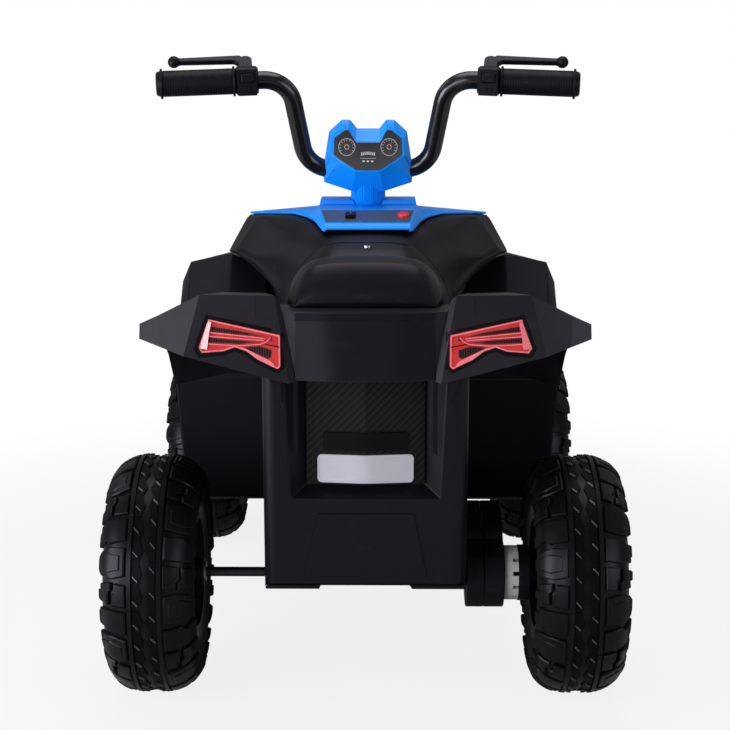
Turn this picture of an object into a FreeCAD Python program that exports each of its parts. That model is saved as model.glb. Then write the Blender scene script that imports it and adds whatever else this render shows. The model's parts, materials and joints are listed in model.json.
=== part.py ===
import FreeCAD, Part
import math
import os
import re
import Sketcher
from FreeCAD import Placement, Rotation, Vector

# A battery ride-on quad bike for a small child.
# +Y points forward, +X to the rider's right, +Z up; the ground is Z = 0 and the
# origin lies on it under the middle of the machine.

doc = FreeCAD.newDocument("QuadBike")
sheet = doc.addObject("Spreadsheet::Sheet", "Sizes")

SIZES = (
    ("overall_width", 640),
    ("wheelbase", 640),
    ("rear_overhang", 170),
    ("front_overhang", 200),
    ("wheel_diameter", 300),
    ("wheel_width", "=overall_width * 59 / 320"),
    ("tyre_shoulder", 50),
    ("tyre_wall", 4),
    ("rim_diameter", 148),
    ("rim_wall", 6),
    ("hub_diameter", 34),
    ("drive_flange_diameter", 70),
    ("cap_diameter", 52),
    ("axle_diameter", 12),
    ("shaft_play", 0.1),
    ("panel_gap", 0.3),
    ("skin", 3),
    ("tub_width", "=overall_width * 61 / 160"),
    ("tub_wall", 3),
    ("tub_drop", 22),
    ("tub_height", 290),
    ("box_length", 95),
    ("box_lean", 15),
    ("box_rise", 15),
    ("recess_width", 192),
    ("recess_depth", 16),
    ("recess_height", 140),
    ("front_floor", 50),
    ("tub_nose", 130),
    ("well_gap", 210),
    ("arch_gap", 22),
    ("floor_height", 46),
    ("footboard_reach", 244),
    ("fender_width", 514),
    ("fender_height", 378),
    ("fender_crease", 374),
    ("fender_tail", 150),
    ("front_fender_width", 577),
    ("front_fender_height", 336),
    ("tank_length", 378),
    ("tank_width", 416),
    ("tank_height", 412),
    ("cowl_deck_width", 144),
    ("seat_width", 190),
    ("seat_height", 409),
    ("seat_dip", 340),
    ("lamp_depth", 12),
    ("plate_width", 115),
    ("plate_height", 35),
    ("plate_fold", 9),
    ("rake_angle", 28),
    ("steering_rod_diameter", 14),
    ("steering_arm", 50),
    ("kingpin_offset", 16),
    ("kingpin_diameter", 12),
    ("tie_rod_diameter", 12),
    ("ball_diameter", 10),
    ("link_play", 1),
    ("bar_diameter", 25),
    ("bar_wall", 2),
    ("bar_span", 580),
    ("bar_rise", 125),
    ("grip_diameter", 36),
    ("grip_length", 106),
    ("housing_length", 32),
    ("lever_reach", 47),
    ("lever_length", 98),
    ("lever_ball_diameter", 17),
    ("lever_thickness", 8),
    ("dash_width", 130),
    ("stem_diameter", 50),
    ("dash_height", 103),
    ("gear_module", 1.5),
    ("pinion_teeth", 14),
    ("reduction_teeth", 42),
    ("output_teeth", 48),
    ("gearbox_start", "=tub_width / 2 + 3"),
    ("gearbox_width", "=overall_width / 2 - wheel_width - 30 - gearbox_start"),
    ("motor_diameter", 36),
    ("motor_length", 56),
    ("battery_length", 151),
    ("battery_width", 65),
    ("battery_height", 95),
    ("socket_diameter", 5.6),
    ("socket_depth", 11),
    ("pedal_width", 62),
    ("pedal_length", 92),
    ("power_button_diameter", 17),
    ("bumper_diameter", 22),
    ("bumper_width", 170),
)

for row, (alias, value) in enumerate(SIZES, start=1):
    sheet.set("A%d" % row, alias.replace("_", " "))
    sheet.set("B%d" % row, str(value))
    sheet.setAlias("B%d" % row, alias)
doc.recompute()

ALIASES = {alias for alias, value in SIZES}
WORD = re.compile(r"[a-z]+(?:_[a-z]+)*")

# Places that several pieces share, written in terms of the sheet.
AXLE_Z = "(wheel_diameter / 2)"
REAR_Y = "((rear_overhang - front_overhang - wheelbase) / 2)"
FRONT_Y = "((rear_overhang - front_overhang + wheelbase) / 2)"
WHEEL_X = "((overall_width - wheel_width) / 2)"
WELL_REAR = "(" + REAR_Y + " + wheel_diameter / 2 + arch_gap)"
WELL_FRONT = "(" + FRONT_Y + " - well_gap)"
TANK_REAR = "(" + FRONT_Y + " - tank_length)"
TUB_TOP = "(" + AXLE_Z + " + tub_height)"
KINGPIN_X = "((overall_width / 2 - wheel_width) - kingpin_offset)"
AXLE_END = "(overall_width / 2 - 12)"
ARM_Y = "(" + FRONT_Y + " - steering_arm)"
GEAR_SPLIT = "(gearbox_start + gearbox_width * 22 / 47)"
GEARBOX_END = "(gearbox_start + gearbox_width)"
DRIVE_FACE = "(overall_width / 2 - wheel_width - 12)"

X_AXIS = Vector(1, 0, 0)
Y_AXIS = Vector(0, 1, 0)
Z_AXIS = Vector(0, 0, 1)
ALONG = {
    "X": Rotation(Y_AXIS, 90),
    "Y": Rotation(X_AXIS, -90),
    "Z": Rotation(),
}
NODES = []


def bound(text):
    """Writes an expression with every sheet name led by the sheet."""
    return WORD.sub(lambda hit: "Sizes." + hit.group() if hit.group() in ALIASES else hit.group(), text)


def num(text):
    """Gives the value of an expression over the sheet."""
    return float(sheet.evalExpression(bound(text)))


def bind(obj, **settings):
    for name, text in settings.items():
        obj.setExpression(name, bound(text))
    return obj


def place(obj, x, y, z):
    for side, text in zip("xyz", (x, y, z)):
        obj.setExpression("Placement.Base." + side, bound(text))
    return obj


def keep(obj, label):
    """Marks a document object as one handed-in piece."""
    obj.Label = label
    NODES.append(obj)
    return obj


def cylinder(name, radius, length, x, y, z, axis="X"):
    obj = doc.addObject("Part::Cylinder", name)
    obj.Placement = Placement(Vector(), ALONG[axis])
    bind(obj, Radius=radius, Height=length)
    return place(obj, x, y, z)


def box(name, size_x, size_y, size_z, x, y, z):
    obj = doc.addObject("Part::Box", name)
    bind(obj, Length=size_x, Width=size_y, Height=size_z)
    return place(obj, x, y, z)


def fuse(name, *pieces):
    obj = doc.addObject("Part::MultiFuse", name)
    obj.Shapes = list(pieces)
    return obj


def cut(name, base, *tools):
    obj = doc.addObject("Part::Cut", name)
    obj.Base = base
    obj.Tool = tools[0] if len(tools) == 1 else fuse(name + "_tools", *tools)
    return obj


def group(name, *pieces):
    obj = doc.addObject("Part::Compound", name)
    obj.Links = list(pieces)
    return obj


def feature(name, shape, placement=None):
    obj = doc.addObject("Part::Feature", name)
    obj.Shape = shape
    if placement:
        obj.Placement = placement
    return obj


def arc_between(start, end, radius):
    """An arc bulging left of the way from start to end for a positive radius, right for a negative one."""
    chord = end - start
    side = Vector(-chord.y, chord.x, 0).normalize()
    reach = math.sqrt(max(radius * radius - chord.Length ** 2 / 4, 0))
    centre = (start + end) / 2 - side * reach * (1 if radius > 0 else -1)
    first, last = (end, start) if radius > 0 else (start, end)
    turns = [math.atan2(point.y - centre.y, point.x - centre.x) for point in (first, last)]
    return Part.ArcOfCircle(Part.Circle(centre, Z_AXIS, abs(radius)), turns[0], turns[1])


def draw(sketch, points):
    """Draws a closed outline whose corners and arc radii follow the sheet."""
    corners = [Vector(num(point[0]), num(point[1]), 0) for point in points]
    ends = []
    for index, point in enumerate(points):
        start, end = corners[index - 1], corners[index]
        if len(point) == 3:
            radius = num(point[2])
            curve = sketch.addGeometry(arc_between(start, end, radius), False)
            ends.append((curve, 2, 1) if radius > 0 else (curve, 1, 2))
            spot = sketch.addConstraint(Sketcher.Constraint("Radius", curve, abs(radius)))
            sketch.setExpression("Constraints[%d]" % spot, bound("abs(" + point[2] + ")"))
        else:
            curve = sketch.addGeometry(Part.LineSegment(start, end), False)
            ends.append((curve, 1, 2))
    for index, (curve, first, last) in enumerate(ends):
        following = ends[(index + 1) % len(ends)]
        sketch.addConstraint(Sketcher.Constraint("Coincident", curve, last, following[0], following[1]))
    for index, (curve, first, last) in enumerate(ends):
        for kind, axis, text in (("DistanceX", -2, points[index][0]), ("DistanceY", -1, points[index][1])):
            if text == "0":
                sketch.addConstraint(Sketcher.Constraint("PointOnObject", curve, last, axis))
                continue
            spot = sketch.addConstraint(Sketcher.Constraint(kind, -1, 1, curve, last, num(text)))
            sketch.setExpression("Constraints[%d]" % spot, bound(text))


def sketch_on(body, role, name, points, start="0"):
    sketch = body.newObject("Sketcher::SketchObject", name)
    plane = [item for item in body.Origin.OriginFeatures if item.Role == role][0]
    sketch.AttachmentSupport = [(plane, "")]
    sketch.MapMode = "FlatFace"
    sketch.setExpression("AttachmentOffset.Base.z", bound(start))
    draw(sketch, points)
    return sketch


def prism(name, role, points, length, start="0", both_ways=False):
    """A body padded from an outline on one of its own planes."""
    body = doc.addObject("PartDesign::Body", name)
    pad = body.newObject("PartDesign::Pad", name + "_pad")
    pad.Profile = sketch_on(body, role, name + "_outline", points, start)
    pad.SideType = "Symmetric" if both_ways else "One side"
    bind(pad, Length=length)
    return body


def pocketed(body, name, role, points, length, start="0", both_ways=False):
    pocket = body.newObject("PartDesign::Pocket", name)
    pocket.Profile = sketch_on(body, role, name + "_outline", points, start)
    pocket.SideType = "Symmetric" if both_ways else "One side"
    bind(pocket, Length=length)
    return pocket


def turned(name, points, x, y, z):
    """A body revolved about the axle direction from an outline of (along, radius) corners."""
    body = doc.addObject("PartDesign::Body", name)
    spin = body.newObject("PartDesign::Revolution", name + "_spin")
    spin.Profile = sketch_on(body, "XY_Plane", name + "_outline", points)
    axis = [item for item in body.Origin.OriginFeatures if item.Role == "X_Axis"][0]
    spin.ReferenceAxis = (axis, [""])
    spin.Angle = 360
    return place(body, x, y, z)


def offset_line(line, wall):
    """Moves an open line of (u, v) corners sideways, to its right for a positive wall."""
    moved = []
    for index, (u, v) in enumerate(line):
        normals = []
        for first in (index - 1, index):
            if 0 <= first and first + 1 < len(line):
                du = line[first + 1][0] - line[first][0]
                dv = line[first + 1][1] - line[first][1]
                size = math.hypot(du, dv)
                normals.append((dv / size, -du / size))
        nu = sum(normal[0] for normal in normals) / len(normals)
        nv = sum(normal[1] for normal in normals) / len(normals)
        scale = wall / (nu * nu + nv * nv)
        moved.append((u + nu * scale, v + nv * scale))
    return moved


def loft(sections):
    """A solid with straight rulings through closed sections of equal corner count."""
    return Part.makeLoft([Part.makePolygon(section + section[:1]) for section in sections], True, True)


def across(stations, wall):
    """A skin laid over lines in side view; each station is (x at side point, line of (y, z))."""
    sections = []
    for x_at, line in stations:
        strip = line + offset_line(line, wall)[::-1]
        sections.append([Vector(x_at(y, z), y, z) for y, z in strip])
    return loft(sections)


def along(stations, wall):
    """A skin laid over lines in end view; each station is (y, right half line of (x, z))."""
    sections = []
    for y, half in stations:
        whole = [(-x, z) for x, z in half[:0:-1]] + half
        strip = whole + offset_line(whole, wall)[::-1]
        sections.append([Vector(x, y, z) for x, z in strip])
    return loft(sections)


def filled(stations):
    """A solid through end-view sections; each station is (y, right half line from top to foot)."""
    sections = []
    for y, half in stations:
        whole = [(-x, z) for x, z in half[:0:-1]] + half
        sections.append([Vector(x, y, z) for x, z in whole])
    return loft(sections)


def spun(profile, origin, direction):
    """A solid of (along, radius) corners turned about a line."""
    corners = [Vector(radius, 0, reach) for reach, radius in profile]
    face = Part.Face(Part.makePolygon(corners + corners[:1]))
    solid = face.revolve(Vector(), Z_AXIS, 360)
    solid.Placement = Placement(origin, Rotation(Z_AXIS, direction))
    return solid


def rod(start, end, radius):
    return Part.makeCylinder(radius, start.distanceToPoint(end), start, end - start)


def bent(points, bend, radius):
    """A round bar through points, every inner corner rounded to one bend radius."""
    edges = []
    start = points[0]
    for index in range(1, len(points) - 1):
        back = (points[index - 1] - points[index]).normalize()
        ahead = (points[index + 1] - points[index]).normalize()
        half = back.getAngle(ahead) / 2
        reach = bend / math.tan(half)
        first = points[index] + back * reach
        last = points[index] + ahead * reach
        inward = (back + ahead).normalize()
        middle = points[index] + inward * (bend / math.sin(half) - bend)
        edges.append(Part.LineSegment(start, first).toShape())
        edges.append(Part.Arc(first, middle, last).toShape())
        start = last
    edges.append(Part.LineSegment(start, points[-1]).toShape())
    path = Part.Wire(edges)
    ring = Part.Wire(Part.makeCircle(radius, points[0], points[1] - points[0]))
    return path.makePipeShell([ring], True, False)


def solid_of(shape):
    """The one solid of a boolean result."""
    clean = shape.removeSplitter()
    return clean.Solids[0] if len(clean.Solids) == 1 else clean


def rear(y):
    return num(REAR_Y) + y


def front(y):
    return num(FRONT_Y) + y


def up(z):
    return num(AXLE_Z) + z


def steering_line():
    """A point on the steering axis level with its crank, and the axis pointing up."""
    rake = math.radians(num("rake_angle"))
    arm = num("steering_arm")
    foot = Vector(0, num(ARM_Y) + arm * math.cos(rake), up(arm * math.sin(rake)))
    return foot, Vector(0, -math.sin(rake), math.cos(rake))


def on_steering_line(z):
    foot, axis = steering_line()
    return foot + axis * ((up(z) - foot.z) / axis.z)


# Moulded tub that carries everything, with the box behind the seat.
def build_lower_body():
    floor = AXLE_Z + " - tub_drop"
    box_back = REAR_Y + " - box_length"
    nose = FRONT_Y + " + tub_nose"
    ledge = AXLE_Z + " + front_floor"
    shell = prism("tub_shell", "YZ_Plane", [
        (box_back, AXLE_Z + " + box_rise"),
        (REAR_Y + " + axle_diameter", floor),
        (WELL_FRONT, floor),
        (FRONT_Y + " - well_gap * 4 / 7", ledge),
        (nose, ledge),
        (nose, AXLE_Z + " + tub_height - 110"),
        (WELL_FRONT, AXLE_Z + " + tub_height - 40"),
        (TANK_REAR + " + 40", TUB_TOP),
        (box_back + " - box_lean", TUB_TOP),
    ], "tub_width", both_ways=True)
    inner_back = REAR_Y + " - box_length + recess_depth + tub_wall"
    pocketed(shell, "tub_hollow", "YZ_Plane", [
        (inner_back, AXLE_Z + " + box_rise + tub_wall"),
        (REAR_Y + " + axle_diameter", floor + " + tub_wall"),
        (WELL_FRONT + " - tub_wall", floor + " + tub_wall"),
        (FRONT_Y + " - well_gap * 4 / 7 - tub_wall", ledge + " + tub_wall"),
        (nose + " - tub_wall", ledge + " + tub_wall"),
        (nose + " - tub_wall", TUB_TOP + " + 20"),
        (inner_back, TUB_TOP + " + 20"),
    ], "tub_width - 2 * tub_wall", both_ways=True)
    socket_x = "-tub_width / 2"
    socket_y = WELL_REAR + " + 128"
    socket_z = AXLE_Z + " + 165"
    boss = cylinder("socket_boss", "socket_diameter / 2 + 4", "socket_depth + 4", socket_x, socket_y,
                    socket_z)
    feet = [box("tub_foot_" + side, "tub_width / 2 - 56", "16", "11", start, box_back + " + 0.5",
                AXLE_Z + " + box_rise - 5.5")
            for side, start in (("left", "1 - tub_width / 2"), ("right", "55"))]
    whole = fuse("tub_with_boss", shell, boss, *feet)
    socket = cylinder("socket_bore", "socket_diameter / 2", "socket_depth + 1",
                      socket_x + " - 1", socket_y, socket_z)
    axle_hole = cylinder("tub_axle_hole", "axle_diameter / 2 + panel_gap / 2", "tub_width + 20",
                         "-tub_width / 2 - 10", REAR_Y, AXLE_Z)
    motor_y, motor_z = motor_place()
    motor_hole = cylinder("tub_motor_hole", "motor_diameter / 2 + 1", "tub_wall + 12",
                          "tub_width / 2 - tub_wall - 6", motor_y, motor_z)
    recess = doc.addObject("Part::Wedge", "tub_recess")
    bind(recess, Xmin="-recess_width / 2", Xmax="recess_width / 2", Zmin="0", Zmax="recess_height + 60",
         X2min="-recess_width * 3 / 8", X2max="recess_width * 3 / 8", Z2min="16",
         Z2max="recess_height + 60",
         Ymin="0", Ymax="recess_depth + box_lean")
    place(recess, "0", REAR_Y + " - box_length - box_lean", AXLE_Z + " + tub_height - recess_height - 30")
    seat_of_bush, axis = steering_line()
    bush_hole = feature("tub_bush_hole",
                        rod(seat_of_bush, seat_of_bush + axis * 60, num("steering_rod_diameter / 2 + 5.2")))
    keep(cut("lower_body", whole, socket, axle_hole, motor_hole, recess, bush_hole), "lower_body")


def folded_plate(name, half, fold, thickness, back, foot, height):
    """An upright plate with one shallow fold down its middle, the fold to the rear."""
    return prism(name, "XY_Plane", [
        ("-" + half, back),
        ("0", back + " - " + fold),
        (half, back),
        (half, back + " + " + thickness),
        ("0", back + " + " + thickness + " - " + fold),
        ("-" + half, back + " + " + thickness),
    ], height, start=foot)


def build_rear_covers():
    seat = "(" + REAR_Y + " - box_length + recess_depth)"
    foot = "(" + AXLE_Z + " + tub_height - recess_height - 12)"
    keep(folded_plate("rear_cover", "(recess_width * 3 / 8 - 1)", "plate_fold", "3", "(" + seat + " - 3)",
                      foot, "recess_height + 4"), "rear_cover")
    fold = "plate_fold * plate_width / (recess_width * 3 / 4 - 2)"
    plate_back = "(" + seat + " - 5 - plate_fold + " + fold + ")"
    keep(folded_plate("number_plate", "(plate_width / 2)", "(" + fold + ")", "2", plate_back,
                      "(" + foot + " + 3)", "plate_height"), "number_plate")


def plane_through(*anchors):
    """The X of a slanting section plane as a function of (y, z), from three (x, y, z) anchors."""
    (xa, ya, za), (xb, yb, zb), (xc, yc, zc) = anchors
    size = (yb - ya) * (zc - za) - (yc - ya) * (zb - za)
    by_y = ((xb - xa) * (zc - za) - (xc - xa) * (zb - za)) / size
    by_z = ((yb - ya) * (xc - xa) - (yc - ya) * (xb - xa)) / size
    return lambda y, z: xa + by_y * (y - ya) + by_z * (z - za)


def level(x):
    return lambda y, z: x


# Drop from the crest of the seat to the deck behind it, which carries its end.
SEAT_TO_DECK = 51


def wing_line(tail, drop, top, slope):
    """Side line of a rear wing from its tail edge over the deck down to the footwell."""
    height = num("fender_height")
    back = num("fender_tail")
    front_edge = num(WELL_REAR)
    return [
        (rear(-back - tail), up(height - drop)),
        (rear(-back + 7 - tail / 2), up(height - top)),
        (rear(0), up(height - 21 - top * slope)),
        (front_edge - 62, up(height - 85 - top * slope)),
        (front_edge, up(height - 156 - top * 0.4)),
    ]


def build_rear_fender():
    skin = num("skin")
    half = num("fender_width / 2")
    crease = num("fender_crease / 2")
    side = num("tub_width / 2 + panel_gap")
    inner = wing_line(5, 98, 8, 1)
    edge = wing_line(15, 100, 1, 1)
    ridge = wing_line(17, 68, 0, 1)
    shoulder = wing_line(8, 58, 24, 0.9)
    tip = wing_line(-2, 51, 35, 0.95)
    seam = plane_through((78,) + inner[0], (97,) + inner[1], (side + 1,) + inner[-1])
    lip = plane_through((86,) + edge[0], (103,) + edge[1], (side + 8,) + edge[-1])
    fold = plane_through((crease + 18,) + ridge[0], (crease,) + ridge[1], (crease,) + ridge[-1])
    wing = across([(seam, inner), (lip, edge), (fold, ridge),
                   (level((crease + half) / 2 + 12), shoulder),
                   (level(half), tip)], skin)
    other = wing.mirror(Vector(), X_AXIS)
    deck = up(num("seat_height") - SEAT_TO_DECK)
    shelf = [(inner[0][0], inner[0][1]), (inner[1][0], deck), (rear(-96), deck)]
    bulge = [(y - 8 if index < 2 else y, z) for index, (y, z) in enumerate(shelf)]
    panel = across([(lambda y, z: -seam(y, z) - 1, shelf), (lambda y, z: -seam(y, z) / 2, bulge),
                    (lambda y, z: seam(y, z) / 2, bulge), (lambda y, z: seam(y, z) + 1, shelf)], skin)
    shell = wing.fuse([other, panel])
    for sign in (-1, 1):
        shell = shell.cut(lamp_block(sign, num("panel_gap / 2"), 40))
    keep(feature("rear_fender", solid_of(shell)), "rear_fender")


# Corners of a tail lamp: distance from the middle, and drop below the crown of the wing.
LAMP_OUTLINE = ((177, 27), (96, 45), (95.5, 80), (99, 83), (122, 72), (134, 63), (147, 58.5), (160, 63),
                (185, 65), (188.5, 59))


def outline_block(outline, sign, grow, start, depth):
    """An outline on one side as a block along the machine, grown all round by a gap."""
    middle_x = sum(x for x, z in outline) / len(outline)
    middle_z = sum(z for x, z in outline) / len(outline)
    corners = []
    for x, z in outline:
        away = math.hypot(x - middle_x, z - middle_z)
        scale = (away + 1.4 * grow) / away
        grown_x = middle_x + (x - middle_x) * scale
        grown_z = middle_z + (z - middle_z) * scale
        corners.append(Vector(sign * grown_x, start, up(grown_z)))
    return Part.Face(Part.makePolygon(corners + corners[:1])).extrude(Y_AXIS * depth)


def lamp_block(sign, grow, depth):
    """A tail lamp's outline as a block through the rear face of its wing."""
    crown = num("fender_height")
    outline = [(x, crown - drop) for x, drop in LAMP_OUTLINE]
    return outline_block(outline, sign, grow, rear(-num("fender_tail") - 22), depth)


def build_tail_lamps():
    for sign, name in ((-1, "tail_lamp_left"), (1, "tail_lamp_right")):
        block = lamp_block(sign, 0, num("lamp_depth + 18"))
        slope = 16 / 99
        back = rear(-num("fender_tail") - 22)
        low = up(num("fender_height") - 100)
        shave = Part.Face(Part.makePolygon([
            Vector(0, back - 10, low - 60), Vector(0, back - 6, low - 60),
            Vector(0, back - 6 + slope * 260, low + 200),
            Vector(0, back - 10, low + 200), Vector(0, back - 10, low - 60)]))
        keep(feature(name, solid_of(block.cut(shave.extrude(X_AXIS * sign * 300)))), name)


# Seat, an open-bottomed moulding with a hump behind and a nose against the tank.
def seat_stations(inset):
    half = num("seat_width / 2") - inset
    crest = num("seat_height") - inset
    dip = num("seat_dip") - inset
    nose_y = num(TANK_REAR) - num("panel_gap")
    foot = num("tub_height") + num("panel_gap")
    shelf = num("seat_height") - SEAT_TO_DECK + num("panel_gap")
    nose_top = num("tank_height") - 26 - inset
    end = inset
    return [
        (rear(-120) + end,
         ((0, up(crest - 34)), (half * 0.28, up(crest - 34)), (half * 0.62, up(crest - 37)),
                            (half * 0.82, up(crest - 44)), (half * 0.9, up(shelf + 2)),
                            (half * 0.9, up(shelf)))),
        (rear(-104) + end / 2,
         ((0, up(crest - 11)), (half * 0.28, up(crest - 11)), (half * 0.63, up(crest - 16)),
                                (half * 0.83, up(crest - 29)), (half * 0.97, up(shelf + 9)),
                                (half * 0.97, up(shelf)))),
        (rear(-96.2), ((0, up(crest - 6)), (half * 0.28, up(crest - 6)), (half * 0.64, up(crest - 11)),
                       (half * 0.84, up(crest - 25)), (half * 0.98, up(shelf + 10)),
                       (half * 0.98, up(shelf)))),
        (rear(-95.8), ((0, up(crest - 6)), (half * 0.28, up(crest - 6)), (half * 0.64, up(crest - 11)),
                       (half * 0.84, up(crest - 25)), (half * 0.98, up(shelf + 10)),
                       (half * 0.98, up(foot)))),
        (rear(-66), ((0, up(crest)), (half * 0.27, up(crest)), (half * 0.65, up(crest - 5)),
                     (half * 0.85, up(crest - 18)), (half, up(crest - 40)), (half, up(foot)))),
        (rear(-20), ((0, up(crest - 20)), (half * 0.3, up(crest - 20)), (half * 0.66, up(crest - 24)),
                     (half * 0.87, up(crest - 36)), (half * 1.02, up(crest - 62)),
                     (half * 1.06, up(foot)))),
        (rear(45), ((0, up(dip + 12)), (half * 0.3, up(dip + 13)), (half * 0.68, up(dip + 12)),
                    (half * 0.92, up(dip + 2)), (half * 1.07, up(dip - 24)), (half * 1.18, up(foot)))),
        (rear(115), ((0, up(dip)), (half * 0.3, up(dip + 1)), (half * 0.68, up(dip)),
                     (half * 0.94, up(dip - 8)), (half * 1.1, up(dip - 28)), (half * 1.2, up(foot)))),
        ((rear(115) + nose_y) / 2,
         ((0, up(dip + 10)), (half * 0.26, up(dip + 10)), (half * 0.6, up(dip + 7)),
                                    (half * 0.86, up(dip - 6)), (half * 1.06, up(dip - 26)),
                                    (half * 1.18, up(foot)))),
        (nose_y - 22,
         ((0, up(nose_top - 8)), (half * 0.25, up(nose_top - 8)), (half * 0.58, up(nose_top - 10)),
                       (half * 0.82, up(nose_top - 26)), (half * 1.04, up(nose_top - 56)),
                       (half * 1.17, up(foot)))),
        (nose_y - end, ((0, up(nose_top)), (half * 0.26, up(nose_top)), (half * 0.6, up(nose_top - 1)),
                        (half * 0.84, up(nose_top - 18)), (half * 1.05, up(nose_top - 46)),
                        (half * 1.17, up(foot)))),
    ]


def build_seat():
    wall = num("tub_wall")
    outer = filled([(y, list(half)) for y, half in seat_stations(0)])
    inner_stations = []
    for index, (y, half) in enumerate(seat_stations(wall)):
        drop = 1 if index > 2 else 0
        inner_stations.append((y, list(half[:-1]) + [(half[-1][0], half[-1][1] - drop)]))
    shell = outer.cut(filled(inner_stations[3:]))
    nose_y = num(TANK_REAR)
    seat_spot = Vector(0, nose_y - 14, up(num("tank_height") - 50.5))
    counterbore = Part.makeCylinder(6, 40, Vector(0, nose_y - 14, up(num("tank_height") - 32.5)))
    shell = shell.cut([counterbore, Part.makeCylinder(2.6, 60, seat_spot)])
    keep(feature("seat", solid_of(shell)), "seat")
    screw = spun([(0, 0), (0, 2.4), (18, 2.4), (18, 5.2), (21, 5.2), (21, 0)], seat_spot, Z_AXIS)
    return feature("seat_screw", screw)


def build_footboards():
    wall = num("skin")
    inner = num("tub_width / 2 + panel_gap")
    reach = num("footboard_reach")
    floor = num("floor_height")
    well_rear = num(WELL_REAR) + wall + num("panel_gap") * 2
    well_front = num(WELL_FRONT)
    line = [
        (well_rear, up(num("fender_height") - 166)),
        (well_rear + 1, up(floor + 4)),
        (well_rear + 6, up(floor)),
        (well_front - 6, up(floor)),
        (well_front + 2, up(floor + 6)),
        (well_front + 22, up(floor + 104)),
        (well_front + 36.5, up(floor + 196)),
    ]
    flare = lambda y, z: reach + (z - up(floor)) * 0.08
    board = across([(level(inner), line), (flare, line)], wall)
    keep(feature("footboard_left", board.mirror(Vector(), X_AXIS)), "footboard_left")
    lugs = []
    hinge = pedal_hinge()
    half = num("pedal_width / 2")
    for sign in (-1, 1):
        lug = Part.makeBox(6, 14, 16,
                           Vector(hinge.x + sign * (half + 3.4) - 3, hinge.y - 7, up(floor) - 0.5))
        lugs.append(lug)
    pin_hole = rod(hinge - X_AXIS * (half + 20), hinge + X_AXIS * (half + 20), 3.2)
    right = board.fuse(lugs).cut(pin_hole)
    keep(feature("footboard_right", solid_of(right)), "footboard_right")


def pedal_hinge():
    middle = (num("tub_width / 2") + num("footboard_reach")) / 2
    return Vector(middle, num(WELL_FRONT) - 118, up(num("floor_height")) + 9)


def build_pedal():
    hinge = pedal_hinge()
    half = num("pedal_width / 2")
    length = num("pedal_length")
    line = [(0, 4.5), (length * 0.5, 21), (length, 33), (length, 28), (length * 0.5, 16), (4, 0)]
    corners = [Vector(0, y, z) for y, z in line]
    plate = Part.Face(Part.makePolygon(corners + corners[:1])).extrude(X_AXIS * half * 2)
    plate.translate(hinge - X_AXIS * half)
    barrel = rod(hinge - X_AXIS * half, hinge + X_AXIS * half, 4.5)
    pin = rod(hinge - X_AXIS * (half + 6), hinge + X_AXIS * (half + 6), 3)
    keep(feature("foot_pedal", solid_of(plate.fuse([barrel, pin]))), "foot_pedal")


def build_front_fenders():
    wall = num("skin")
    half = num("front_fender_width / 2")
    height = num("front_fender_height")
    side = num("tub_width / 2 + panel_gap")
    edge = num(WELL_FRONT) + 40
    root = [(edge + 2, up(230)), (front(-118), up(218)), (front(0), up(195)), (front(110), up(170)),
            (front(150), up(150))]
    under = [(edge + 1, up(245)), (front(-120), up(height - 32)), (front(0), up(height - 51)),
             (front(120), up(height - 81)),
             (front(155), up(height - 136))]
    crown = [(edge, up(255)), (front(-125), up(height)), (front(0), up(height - 12)),
             (front(122), up(height - 54)),
             (front(162), up(height - 111))]
    brow = [(edge, up(250)), (front(-120), up(height - 14)), (front(0), up(height - 28)),
            (front(124), up(height - 71)),
            (front(164), up(height - 124))]
    flank = [(edge + 2, up(242)), (front(-110), up(height - 46)), (front(0), up(height - 61)),
             (front(120), up(height - 101)),
             (front(160), up(height - 141))]
    hem = [(edge + 4, up(230)), (front(-108), up(height - 78)), (front(0), up(height - 91)),
           (front(118), up(height - 128)),
           (front(156), up(height - 164))]
    shell = across([(level(side), root), (level(half - 132), under), (level(half - 78), crown),
                    (level(half - 16), brow),
                    (level(half - 2), flank), (level(half), hem)], wall)
    keep(feature("front_fender_left", shell.mirror(Vector(), X_AXIS)), "front_fender_left")
    keep(feature("front_fender_right", shell), "front_fender_right")


# Tank shell with its knee wings, and the nose that carries its lines on to the front.
def body_lines():
    half = num("tank_width / 2")
    top = num("tank_height")
    back = num(TANK_REAR)
    return [
        (back, [(0, up(top - 26)), (62, up(top - 29)), (102, up(top - 70)), (118, up(top - 118))]),
        (back + 26, [(0, up(top - 16)), (70, up(top - 19)), (116, up(top - 66)), (120, up(top - 119))]),
        (back + 68,
         [(0, up(top - 12)), (100, up(top - 16)), (half - 53, up(top - 62)), (124, up(top - 119))]),
        (back + 138,
         [(0, up(top - 2)), (half - 51, up(top - 6)), (half - 15, up(top - 57)), (127, up(top - 119))]),
        (back + 188, [(0, up(top)), (half - 31, up(top - 9)), (half, up(top - 65)), (160, up(top - 74))]),
        (back + 258,
         [(0, up(top - 10)), (half - 31, up(top - 17)), (half, up(top - 77)), (160, up(top - 84))]),
        (back + 338,
         [(0, up(top - 24)), (half - 43, up(top - 34)), (half - 13, up(top - 92)), (150, up(top - 100))]),
    ]


def nose_lines():
    half = num("tank_width / 2")
    top = num("tank_height")
    last_y, last = body_lines()[-1]
    gap = num("panel_gap")
    return [
        (last_y + gap, last),
        (front(58),
         [(0, up(top - 57)), (half - 78, up(top - 72)), (half - 66, up(top - 112)), (126, up(top - 172))]),
        (front(146),
         [(0, up(top - 122)), (half - 118, up(top - 130)), (half - 100, up(top - 172)),
          (92, up(top - 232))]),
    ]


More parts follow.
